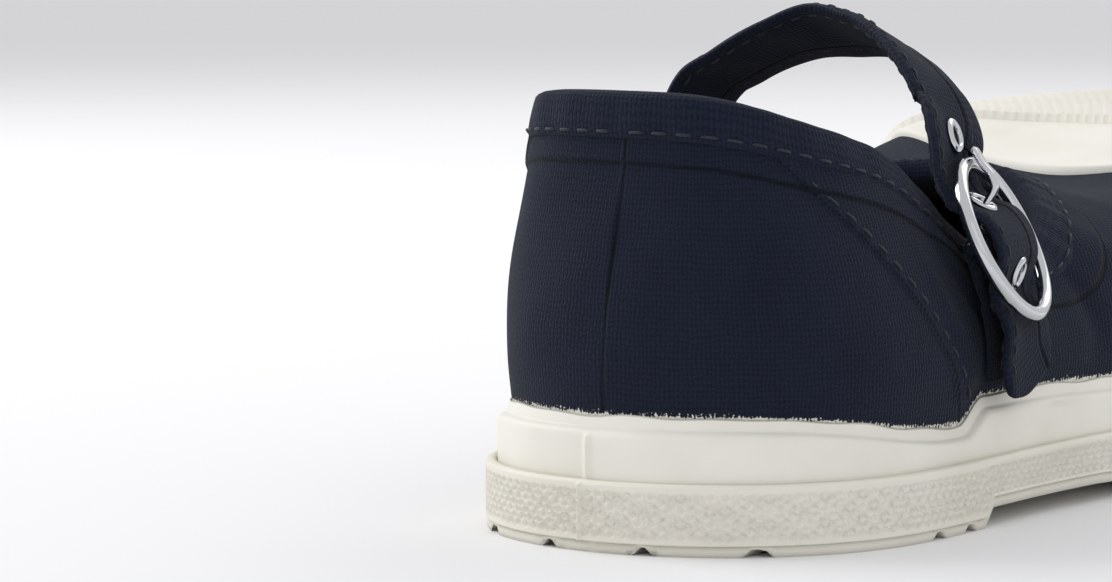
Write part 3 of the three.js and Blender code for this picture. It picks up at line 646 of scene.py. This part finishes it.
SC, TC = np.meshgrid(s_up, t_up, indexing="ij")
heel_uv, front_uv = cloth_uv(SC, TC, arc_up[:, None])
in_heel = (SC < side_seam(TC)) | (SC > ROUND - side_seam(TC))
all_rows = np.concatenate([np.arange(ROWS), inner_rows, [0]])
r, c = np.meshgrid(np.arange(COLUMNS), np.arange(len(all_rows) - 1), indexing="ij")
c0, c1 = all_rows[c], all_rows[c + 1]
face_heel = in_heel[r, c0][..., None, None]
corners = [(r, c0), (r + 1, c0), (r + 1, c1), (r, c1)]
upper_uv = np.where(face_heel, np.stack([heel_uv[i] for i in corners], 2),
                    np.stack([front_uv[i] for i in corners], 2))
above = canvas(S, T)[..., 2] - upper_top(canvas(S, T)[..., 1])
far = np.full((COLUMNS, len(inner_rows)), float(NO_SEAM))
make_piece("canvas_upper", upper_grid, (True, True), upper_uv, navy_canvas, ("upper",),
           fields={"seam": np.concatenate([shaded_seam_distance, far], 1), "above_band": np.concatenate([above, far], 1)})


# ---------------------------------------------------------------- collar binding
# Strip of the same canvas folded over the raw edge of collar and throat, and
# stitched through, so that it stands out as a soft roll.

binding_canvas = canvas_material("canvas_binding_tape", ("#080b15", "#20273a"))
BINDING = (
    # below the edge, off the face, above the edge
    (4.3, 0.10, 0), (4.28, 0.45, 0), (4.0, 0.72, 0), (3.3, 0.86, 0), (2.4, 0.92, 0), (1.4, 0.92, 0), (0.5, 0.88, 0),
    (0, 0.80, 0.25), (0, 0.55, 0.62), (0, 0.15, 0.88), (0, -0.3, 1.02), (0, -0.75, 1.08), (0, -1.2, 1.02),
    (0, -1.65, 0.88), (0, -2.05, 0.62), (0, -2.3, 0.25), (0.5, -2.38, 0), (1.6, -2.4, 0), (3.0, -2.36, 0),
    (4.0, -2.2, 0), (4.28, -1.9, 0), (4.3, -1.6, 0),
)
EDGE_PLACES = 640
s_edge = round_places(EDGE_PLACES)[0]
s_e = s_edge[:-1]
up_edge = unit(canvas(s_e, 1.0) - canvas(s_e, 0.985))
ripple = 0.10 * np.sin(np.cumsum(np.full(EDGE_PLACES, 0.42))) * np.sin(np.arange(EDGE_PLACES) * 0.11)
loops = []
for below, off, over in BINDING:
    wave = ripple * (1 if off > 0 else -1)
    loops.append(off_canvas(s_e, np.minimum(below_edge(s_e, below), 0.998), off + wave) + up_edge * over)
edge_line = canvas(s_edge, 1.0)
edge_arc = np.concatenate([[0], np.cumsum(np.linalg.norm(np.diff(edge_line, axis=0), axis=1))])
girth = np.cumsum([0, *[0.55] * len(BINDING)])
binding_uv = np.stack(np.broadcast_arrays(edge_arc[:, None], girth[None, :]), -1)
make_piece("collar_binding", np.stack(loops, 1), (True, True), binding_uv, binding_canvas, ())


# ---------------------------------------------------------------- stitches
# Navy cotton thread, about eleven stitches to 30 mm, in rows along the binding,
# the seams and the strap.

thread_navy, tree = new_material("waxed_cotton_thread")
twist = add(tree, "ShaderNodeTexNoise", {"Vector": add(tree, "ShaderNodeTexCoord").outputs["Object"],
                                         "Scale": 3000.0, "Detail": 2.0})
shine = add(tree, "ShaderNodeMapRange", {"Value": twist.outputs["Fac"], "To Min": 0.55, "To Max": 0.8})
shade(tree, {"Base Color": linear("#151a29"), "Roughness": shine.outputs["Result"], "Sheen Weight": 0.1})


def stitch_row(name, line, normals, length=2.1, gap=0.75, radius=0.17):
    """Small capsules laid along a line: each is a ring profile whose width is the
    square root of 1 - a^2, with a from -1 to 1 along the stitch, and whose ends dip
    into the cloth."""
    arc = np.concatenate([[0], np.cumsum(np.linalg.norm(np.diff(line, axis=0), axis=1))])
    count = int(arc[-1] // (length + gap))
    centres = (np.arange(count) + 0.5) * (length + gap)
    a = np.linspace(-1, 1, 7)
    at = centres[:, None] + a * length / 2
    mid = np.stack([np.interp(at, arc, line[:, k]) for k in range(3)], -1)
    out = unit(np.stack([np.interp(at, arc, normals[:, k]) for k in range(3)], -1))
    along = unit(np.gradient(mid, axis=1))
    side = np.cross(along, out)
    mid = mid + out * (0.10 - 0.32 * a ** 4)[:, None]
    ring = np.linspace(0, 2 * math.pi, 6, endpoint=False)
    width = radius * np.sqrt(np.maximum(0.02, 1 - a ** 4))[None, :, None, None]
    tube = mid[:, :, None] + width * (side[:, :, None] * np.cos(ring)[:, None]
                                      + out[:, :, None] * np.sin(ring)[:, None])
    n, m, k = tube.shape[:3]
    i, j, w = np.meshgrid(np.arange(n), np.arange(m - 1), np.arange(k), indexing="ij")
    first = (i * m + j) * k
    quads = np.stack([first + w, first + k + w, first + k + (w + 1) % k, first + (w + 1) % k], -1).reshape(-1, 4)
    base = np.arange(n) * m * k
    caps = np.concatenate([base[:, None] + np.arange(k), base[:, None] + (m - 1) * k + np.arange(k)[::-1]])
    mesh = bpy.data.meshes.new(name)
    mesh.from_pydata((tube.reshape(-1, 3) * MM).tolist(), [], quads.tolist() + caps.tolist())
    mesh.polygons.foreach_set("use_smooth", np.ones(len(mesh.polygons), bool))
    mesh.materials.append(thread_navy)
    piece = bpy.data.objects.new(name, mesh)
    scene.collection.objects.link(piece)
    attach(piece, "root")
    return piece


LINE_PLACES, STITCHES_BELOW_EDGE = 1400, 3.6
s_line = np.linspace(0.02, ROUND - 0.02, LINE_PLACES)
t_line = below_edge(s_line, STITCHES_BELOW_EDGE)
binding_line = off_canvas(s_line, t_line, np.full(LINE_PLACES, 0.86))
stitch_row("binding_stitches", binding_line, canvas_normal(s_line, t_line))
t_seam = np.linspace(0.24, 0.88, 300)
for side, label in ((1, "outer"), (-1, "inner")):
    s_seam = side_seam(t_seam) + 0.11
    s_seam = s_seam if side == 1 else ROUND - s_seam
    lift = creases(s_seam, t_seam) + 0.31
    stitch_row(f"side_seam_stitches_{label}", off_canvas(s_seam, t_seam, lift), canvas_normal(s_seam, t_seam))


# ---------------------------------------------------------------- insole
# Cotton twill glued over thin foam, cut to the inside of the upper and a little
# dished under the heel.

twill, tree = new_material("unbleached_cotton_twill")
place = add(tree, "ShaderNodeTexCoord").outputs["Object"]
axes = add(tree, "ShaderNodeSeparateXYZ", {0: place})
TWILL_MM = 0.7


def twill_wave(x, y):
    """Diagonal ribs: the sine of the sum of x and y over the twill's spacing."""
    both = add(tree, "ShaderNodeMath", {0: x, 1: y}, operation="ADD").outputs[0]
    turn = add(tree, "ShaderNodeMath", {0: both, 1: 2 * math.pi / (TWILL_MM * MM)}, operation="MULTIPLY").outputs[0]
    return add(tree, "ShaderNodeMath", {0: turn}, operation="SINE").outputs[0]


ribs = twill_wave(axes.outputs[0], axes.outputs[1])
soil = add(tree, "ShaderNodeTexNoise", {"Vector": place, "Scale": 45.0, "Detail": 5.0})
tint = add(tree, "ShaderNodeMix", {"Factor": soil.outputs["Fac"], 6: linear("#b9b2a0"), 7: linear("#ded8c8")},
           data_type="RGBA")
relief = add(tree, "ShaderNodeBump", {"Height": ribs, "Strength": 0.4, "Distance": 0.0001})
shade(tree, {"Base Color": tint.outputs[2], "Roughness": 0.93, "Normal": relief.outputs["Normal"]})

INSOLE, INSET_INSOLE = 2.6, INSET_CANVAS + WALL + GAP + 0.3


def dished(x, y):
    """Insole top: sole curve plus its thickness, lower by a round hollow at the heel."""
    return sole_top(y) + GAP + INSOLE - 0.8 * np.exp(-(x / 13) ** 2 - ((y - 24) / 18) ** 2)


insole_top = plate(INSET_INSOLE, dished)
insole_edge = plate(INSET_INSOLE - 0.25, lambda x, y: sole_top(y) + GAP + INSOLE - 0.5)
insole_under = plate(INSET_INSOLE - 0.25, lambda x, y: sole_top(y) + GAP)
insole_rows = np.concatenate([insole_under, insole_edge[:, -1:], insole_top[:, ::-1], insole_edge[:, :1]], 1)
make_piece("insole_cover", insole_rows[:, ::-1], (False, True), None, twill, ("insole",),
           fans=(np.arange(insole_rows.shape[1]),
                 (insole_rows.shape[0] - 1) * insole_rows.shape[1] + np.arange(insole_rows.shape[1])[::-1]))


# ---------------------------------------------------------------- toe cap
# Smooth rubber sheet vulcanised over the toes, thinned at its rear edge.

cap_rubber = rubber_material("vulcanised_cap_rubber", ("#e8e5d9", "#f2f0e7"), 1.6, 0.08)
CAP_THICKNESS, CAP_REAR, CAP_STATIONS = 1.2, 0.77, 3.3
BUMPER_THICKNESS, BUMPER_REAR, BUMPER_STATIONS = 2.2, 0.62, 4.4


def rear_edge(rear, stations, s):
    """How far up the canvas a piece's rear edge runs: highest at the toe tip,
    falling as a parabola to each side."""
    return FOOT + (rear - FOOT) * (1 - (np.abs(s - TOE) / stations) ** 2)


def overlay(s, low, high, thickness, rows, relief=None, edge_mm=1.0):
    """Closed sheet on the canvas between t = low and high at each s: outer face
    with its edges rounded off as a quarter circle, and inner face on the canvas."""
    v = np.linspace(0, 1, rows)
    t = low[:, None] + (high - low)[:, None] * v
    span = np.linalg.norm(np.diff(canvas(s[:, None], t), axis=1), axis=-1).sum(1)[:, None]
    near = np.minimum(v, 1 - v) * span
    dome = np.sqrt(np.clip(1 - (1 - np.clip(near / edge_mm, 0, 1)) ** 2, 0, 1))
    ends = np.sqrt(np.clip(np.minimum(np.arange(len(s)), np.arange(len(s))[::-1]) / 14, 0, 1))[:, None]
    push = GAP / 3 + thickness * dome * ends
    if relief is not None:
        push = push + relief(s[:, None] * np.ones_like(t), t) * smooth(0.6, 1.4, near) * ends
    outer = off_canvas(s[:, None] * np.ones_like(t), t, push)
    inner = off_canvas(s[:, None] * np.ones_like(t), t, np.full(t.shape, 0.02))
    return np.concatenate([outer, inner[:, ::-1]], 1)


CAP_PLACES, CAP_REACH = 360, 2.7
s_cap = np.linspace(TOE - CAP_REACH, TOE + CAP_REACH, CAP_PLACES)
cap_front = rear_edge(BUMPER_REAR, BUMPER_STATIONS, s_cap) - 0.01
cap = overlay(s_cap, cap_front, rear_edge(CAP_REAR, CAP_STATIONS, s_cap),
              CAP_THICKNESS, 60)
make_piece("toe_cap_sheet", cap, (False, True), None, cap_rubber, ("toe_cap",),
           fans=(np.arange(cap.shape[1])[::-1], (cap.shape[0] - 1) * cap.shape[1] + np.arange(cap.shape[1])))


# ---------------------------------------------------------------- toe bumper
# Ribbed rubber strip over the front of the cap, down to the bands, pressed with
# slanting ribs.

bumper_rubber = rubber_material("ribbed_bumper_rubber", ("#e3e0d3", "#efece2"), 1.0, 0.1)
RIB_SPACING, RIB_HEIGHT = 1.5, 0.3


def slant_ribs(s, t):
    """Ribs along slanted lines: the cosine of arc length plus height over the spacing."""
    arc = np.interp(s, s_up, arc_up)
    up = (t - FOOT) * 100
    return -RIB_HEIGHT * (0.5 - 0.5 * np.cos(2 * math.pi * (arc + 0.55 * up) / RIB_SPACING)) ** 2


BUMPER_PLACES, BUMPER_REACH, ABOVE_BANDS = 900, 4.34, 0.204
s_bumper = np.linspace(TOE - BUMPER_REACH, TOE + BUMPER_REACH, BUMPER_PLACES)
bumper_rear = np.maximum(rear_edge(BUMPER_REAR, BUMPER_STATIONS, s_bumper), ABOVE_BANDS + 0.002)
bumper = overlay(s_bumper, np.full(BUMPER_PLACES, ABOVE_BANDS), bumper_rear,
                 BUMPER_THICKNESS, 46, slant_ribs, 0.9)
make_piece("toe_bumper_strip", bumper, (False, True), None, bumper_rubber, ("toe_bumper",),
           fans=(np.arange(bumper.shape[1])[::-1],
                 (bumper.shape[0] - 1) * bumper.shape[1] + np.arange(bumper.shape[1])))


# ---------------------------------------------------------------- strap
# Two plies of canvas folded in at both edges and stitched, sewn inside the inner
# side, arching over the instep, woven through the buckle, its end rounded.

strap_canvas = canvas_material("folded_canvas_strap", ("#080b15", "#1f2638"), fields=True)

RING_CENTRE = np.array((25.8, 46.6, 32.4))
RING_OUT = unit(np.array((0.885, 0.15, 0.44)))
RING_BAR = unit(np.cross((-0.44, -0.1, 0.885), RING_OUT))
RING_UP = np.cross(RING_OUT, RING_BAR)
STRAP_WIDTH, STRAP_THICKNESS = 13.2, 1.4


def by_ring(rows):
    """Rows (up, out) beside the ring as rows of middle point and width direction."""
    return [(*(RING_CENTRE + RING_UP * up + RING_OUT * out), *RING_BAR) for up, out in rows]


STRAP_PATH = np.array([
    # middle of the strap            direction of its width
    (-15.7, 55.6, 27.0, 0.05, 1, 0),  # sewn end
    (-17.0, 54.8, 34.0, 0.07, 1, 0),
    (-19.6, 53.6, 44.5, 0.1, 1, -0.05),
    (-17.1, 53.3, 49.2, 0.06, 0.98, -0.2),
    (-13.3, 53.2, 51.4, -0.02, 0.96, -0.26),
    (-6.7, 53.2, 54.4, -0.06, 0.94, -0.34),
    (-0.2, 53.2, 55.8, -0.15, 0.88, -0.45),  # top of the arch
    (6.0, 52.2, 55.2, -0.36, 0.89, -0.22),
    (11.0, 50.2, 53.3, -0.35, 0.93, -0.05),
    (15.2, 48.4, 50.2, -0.2, 0.98, 0),
    (18.0, 47.5, 46.4, -0.08, 0.99, 0.03),
    *by_ring(((12.6, -0.9), (9.4, -2.0), (6.2, -2.05), (4.3, -1.0), (2.4, 0.7), (0, 1.2), (-2.4, 0.7),
              (-4.3, -1.0), (-6.2, -2.05), (-9.4, -2.0))),
    (28.0, 48.2, 19.4, -0.08, 1, 0),
    (28.0, 50.4, 15.4, 0.08, 1, 0),  # free end
])


def through(points, count):
    """Centripetal Catmull-Rom curve through the rows, by blending of straight
    lines between them, at evenly spread places."""
    p = np.vstack([2 * points[0] - points[1], points, 2 * points[-1] - points[-2]])
    knots = np.concatenate([[0], np.cumsum(np.linalg.norm(np.diff(p[:, :3], axis=0), axis=1) ** 0.5)])
    fine = np.linspace(0, 1, 40, endpoint=False)
    k = np.repeat(np.arange(1, len(p) - 2), 40)
    x = knots[k] + (knots[k + 1] - knots[k]) * np.tile(fine, len(p) - 3)

    def blend(a, b, i, j):
        w = ((x - knots[k + i]) / (knots[k + j] - knots[k + i]))[:, None]
        return a * (1 - w) + b * w

    a1, a2, a3 = (blend(p[k + i], p[k + i + 1], i, i + 1) for i in (-1, 0, 1))
    b1, b2 = blend(a1, a2, -1, 1), blend(a2, a3, 0, 2)
    line = np.vstack([blend(b1, b2, 0, 1), points[-1]])
    arc = np.concatenate([[0], np.cumsum(np.linalg.norm(np.diff(line[:, :3], axis=0), axis=1))])
    even = np.linspace(0, arc[-1], count)
    return np.stack([np.interp(even, arc, line[:, c]) for c in range(line.shape[1])], 1), even


def strip_frame(rows):
    """Middle, width direction and outward direction along a strip."""
    along = unit(np.gradient(rows[:, :3], axis=0))
    across = rows[:, 3:6] - along * np.sum(rows[:, 3:6] * along, 1)[:, None]
    across = unit(across)
    return rows[:, :3] - (0, HEEL_CENTRE, 0), across, np.cross(along, across)


def strip(name, path, count, width, thickness, material, stands_for, round_end, relief, side=22):
    """Flat strip: on each cross-section the thickness closes at both edges as a
    quarter of a superellipse, and near the free end the width closes as a circle."""
    rows, arc = through(path, count)
    middle, across, out = strip_frame(rows)
    reach = np.clip((arc[-1] - arc) / round_end, 0, 1)
    half = width / 2 * (1 - 0.92 * (1 - np.sqrt(1 - (1 - reach) ** 2 * 0.999)))
    v = np.sin(np.linspace(-1, 1, side) * math.pi / 2)
    v = 0.55 * v + 0.45 * np.linspace(-1, 1, side)
    edge = (1 - np.abs(v) ** 9) ** 0.4
    cap_end = np.sqrt(np.clip(1 - (1 - np.clip((arc[-1] - arc) / 0.7, 0, 1)) ** 2, 0.04, 1))[:, None]
    lift_out, lift_in = relief(arc[:, None], v[None, :] * half[:, None])
    place = middle[:, None] + across[:, None] * (v[None, :] * half[:, None])[..., None]
    top = place + out[:, None] * (thickness / 2 * edge * cap_end + lift_out * edge)[..., None]
    low = place - out[:, None] * (thickness / 2 * edge * cap_end + lift_in * edge)[..., None]
    grid = np.concatenate([top, low[:, ::-1]], 1)
    u = np.broadcast_to(arc[:, None], (count, 2 * side + 1))
    vv = np.concatenate([v, v[::-1], v[:1]])[None, :] * half[:, None] + np.repeat((0, 30), (side, side + 1))
    # seam: distance across the strip from its hem line, which the canvas material darkens as painted shade in the
    # hem's groove
    seam = np.concatenate([v, v[::-1]])[None, :] * half[:, None] - width * 0.19
    n, m = grid.shape[:2]
    piece = make_piece(name, grid, (False, True), np.stack([vv, u], -1), material, stands_for,
                       fields={"seam": seam, "above_band": np.full(seam.shape, 9.0)},
                       fans=(np.arange(m)[::-1], (n - 1) * m + np.arange(m)))
    return piece, middle, across, out, arc


EYELET_HEIGHTS = (43.9, 35.9, 28.7)
strap_rows, strap_arc = through(STRAP_PATH, 460)
outer_leg = strap_arc > strap_arc[-1] * 0.55
eyelet_arcs = [float(np.interp(-h, -strap_rows[outer_leg, 2], strap_arc[outer_leg])) for h in EYELET_HEIGHTS]


def strap_relief(arc, v):
    """Folded hems a little proud, a stitched groove along each, soft ripples, and
    a dimple round each eyelet."""
    hem = 0.16 * smooth(STRAP_WIDTH * 0.19 - 0.1, STRAP_WIDTH * 0.19 + 0.25, v)
    ripple = 0.09 * np.sin(arc / 3.1 + v * 0.3) * np.sin(v / 2.3 + arc / 11) + 0.05 * np.sin(arc / 1.3 - v * 0.4)
    pucker = sum(-0.30 * np.exp(-((arc - a) ** 2 + v ** 2) / 2.6 ** 2) for a in eyelet_arcs)
    return hem + ripple + pucker, 0.5 * hem - ripple + pucker


_, strap_middle, strap_across, strap_out, _ = strip(
    "strap_over_instep", STRAP_PATH, 460, STRAP_WIDTH, STRAP_THICKNESS, strap_canvas, ("strap",), 5.5,
    strap_relief)
for v_mm, label in ((STRAP_WIDTH * 0.19 + 1.1, "front"), (-STRAP_WIDTH / 2 + 1.2, "rear")):
    for sign, face in ((1, "outer"), (-1, "inner")):
        line = strap_middle + strap_across * v_mm + strap_out * sign * (STRAP_THICKNESS / 2 - 0.02)
        keep = slice(40, -12)
        stitch_row(f"strap_stitches_{label}_{face}", line[keep], strap_out[keep] * sign, 1.7, 0.7, 0.12)


# ---------------------------------------------------------------- eyelets
# Rolled brass tubes, nickel and chrome plated, set through the strap: a flange
# outside, a turned-over rim inside.

chrome, tree = new_material("bright_chrome_plate")
scratch = add(tree, "ShaderNodeTexNoise", {"Vector": add(tree, "ShaderNodeTexCoord").outputs["Object"],
                                           "Scale": 900.0, "Detail": 3.0})
wear = add(tree, "ShaderNodeMapRange", {"Value": scratch.outputs["Fac"], "To Min": 0.06, "To Max": 0.22})
shade(tree, {"Base Color": linear("#cfd1d4"), "Metallic": 1.0, "Roughness": wear.outputs["Result"]})


def lathe(name, profile, centre, axis, material, stands_for, steps=48):
    """Closed profile of (radius, height) turned round an axis."""
    first = unit(np.cross(axis, (0.31, 0.2, 1.0)))
    second = np.cross(axis, first)
    angle = np.linspace(0, 2 * math.pi, steps, endpoint=False)[:, None, None]
    radius, height = (np.array(profile)[None, :, k, None] for k in (0, 1))
    grid = centre + (first * np.cos(angle) + second * np.sin(angle)) * radius + axis * height
    return make_piece(name, grid, (True, True), None, material, stands_for)


EYELET_PROFILE = (
    (1.10, -1.0), (1.10, 0.75), (1.16, 0.95), (1.32, 1.08), (1.55, 1.10), (1.85, 1.02), (2.05, 0.86), (2.12, 0.70),
    (2.00, 0.62), (1.55, 0.60), (1.45, 0.40), (1.45, -0.60), (1.75, -0.72), (1.95, -0.80), (1.90, -0.95),
    (1.6, -1.06), (1.3, -1.06),
)
for index, arc_at in enumerate(eyelet_arcs):
    k = int(np.argmin(np.abs(strap_arc - arc_at)))
    lathe(f"eyelet_tube_{index + 1}", EYELET_PROFILE[::-1], strap_middle[k], strap_out[k], chrome,
          (f"eyelet_{index + 1}",))


# ---------------------------------------------------------------- buckle ring
# Round ring of drawn steel wire with a straight bar welded across it, plated.

RING_RADIUS, WIRE, BAR, BAR_BEHIND = 9.4, 0.85, 0.7, 1.6


def tube(line, radius, steps=20, flat=1.0, up=RING_OUT):
    """Closed cross-sections round a line: circles, or ellipses flattened along up."""
    along = unit(np.gradient(line, axis=0))
    side = unit(np.cross(along, up))
    top = np.cross(side, along)
    angle = np.linspace(0, 2 * math.pi, steps, endpoint=False)[None, :, None]
    radius = np.asarray(radius, float)
    radius = radius[:, None, None] if radius.ndim else radius
    return line[:, None] + radius * (side[:, None] * np.cos(angle) + flat * top[:, None] * np.sin(angle))


turn = np.linspace(0, 2 * math.pi, 160, endpoint=False)
centre = RING_CENTRE - (0, HEEL_CENTRE, 0)
radial = RING_BAR * np.cos(turn)[:, None] + RING_UP * np.sin(turn)[:, None]
small = np.linspace(0, 2 * math.pi, 28, endpoint=False)
torus = centre + radial[:, None] * (RING_RADIUS + WIRE * np.cos(small))[None, :, None] + RING_OUT * (
    WIRE * np.sin(small))[None, :, None]
make_piece("buckle_wire_ring", torus, (True, True), None, chrome, ("buckle_ring",))
bar_x = np.linspace(-1, 1, 60)
bend = -BAR_BEHIND * np.clip((1 - np.abs(bar_x)) / 0.12, 0, 1) ** 0.5
bar_line = centre + RING_BAR * (bar_x * RING_RADIUS)[:, None] + RING_OUT * bend[:, None]
bar_grid = tube(bar_line, BAR)
make_piece("buckle_wire_bar", bar_grid[:, ::-1], (False, True), None, chrome, (),
           fans=(np.arange(20)[::-1], 59 * 20 + np.arange(20)))


# ---------------------------------------------------------------- buckle prong
# Flat tongue of the same steel, curled round the bar, through the middle eyelet
# and resting on the ring.

PRONG_PATH = np.array([(*(RING_CENTRE + RING_UP * up + RING_OUT * out), *RING_BAR) for up, out in (
    (1.1, -2.0), (2.4, -2.1), (3.7, -1.2), (4.8, 0.6), (5.7, 1.7), (7.0, 2.0), (8.6, 1.6), (10.9, 1.35))])


def plain_metal(arc, v):
    """No relief."""
    return 0 * (arc + v), 0 * (arc + v)


strip("buckle_tongue", PRONG_PATH, 60, 1.5, 0.8, chrome, ("buckle_prong",), 0.7, plain_metal, 10)
curl = np.linspace(math.radians(-20), math.radians(300), 30)
curl_line = centre + RING_OUT * -BAR_BEHIND + RING_UP * (1.15 * np.cos(curl))[:, None] + RING_OUT * (
    1.15 * np.sin(curl))[:, None]
curl_grid = curl_line[:, None] + (RING_BAR * np.array((-0.7, 0.7, 0.7, -0.7))[:, None])[None] + (
    unit(curl_line - (centre - RING_OUT * BAR_BEHIND))[:, None] * np.array((0.3, 0.3, -0.3, -0.3))[None, :, None])
make_piece("buckle_tongue_curl", curl_grid, (False, True), None, chrome, (),
           fans=(np.arange(4)[::-1], 29 * 4 + np.arange(4)))


# ---------------------------------------------------------------- buckle tab
# Short folded strip of canvas, sewn to the outer side under the bands' edge,
# looped round the bar to hold the buckle.

TAB_PATH = np.array([
    (25.9, 48.4, 16.8, 0, 1, 0), (25.9, 48.1, 20.5, -0.03, 1, 0), (25.4, 47.5, 24.0, -0.08, 1, 0),
    (24.7, 47.2, 26.2, -0.12, 1, 0),
    *by_ring(((-3.4, -3.4), (-1.4, -3.1), (0, -3.0), (0.99, -2.59), (1.4, -1.6), (0.99, -0.61), (0, -0.2),
              (-1.4, -0.6), (-2.7, -1.45), (-3.9, -2.35))),
])


def soft_canvas(arc, v):
    """Slow ripples of the cloth."""
    wave = 0.05 * np.sin(arc / 2.1 + v * 0.4)
    return wave, -wave


strip("tab_round_bar", TAB_PATH, 160, 11.6, 0.8, strap_canvas, ("buckle_strap",), 0.8, soft_canvas, 16)
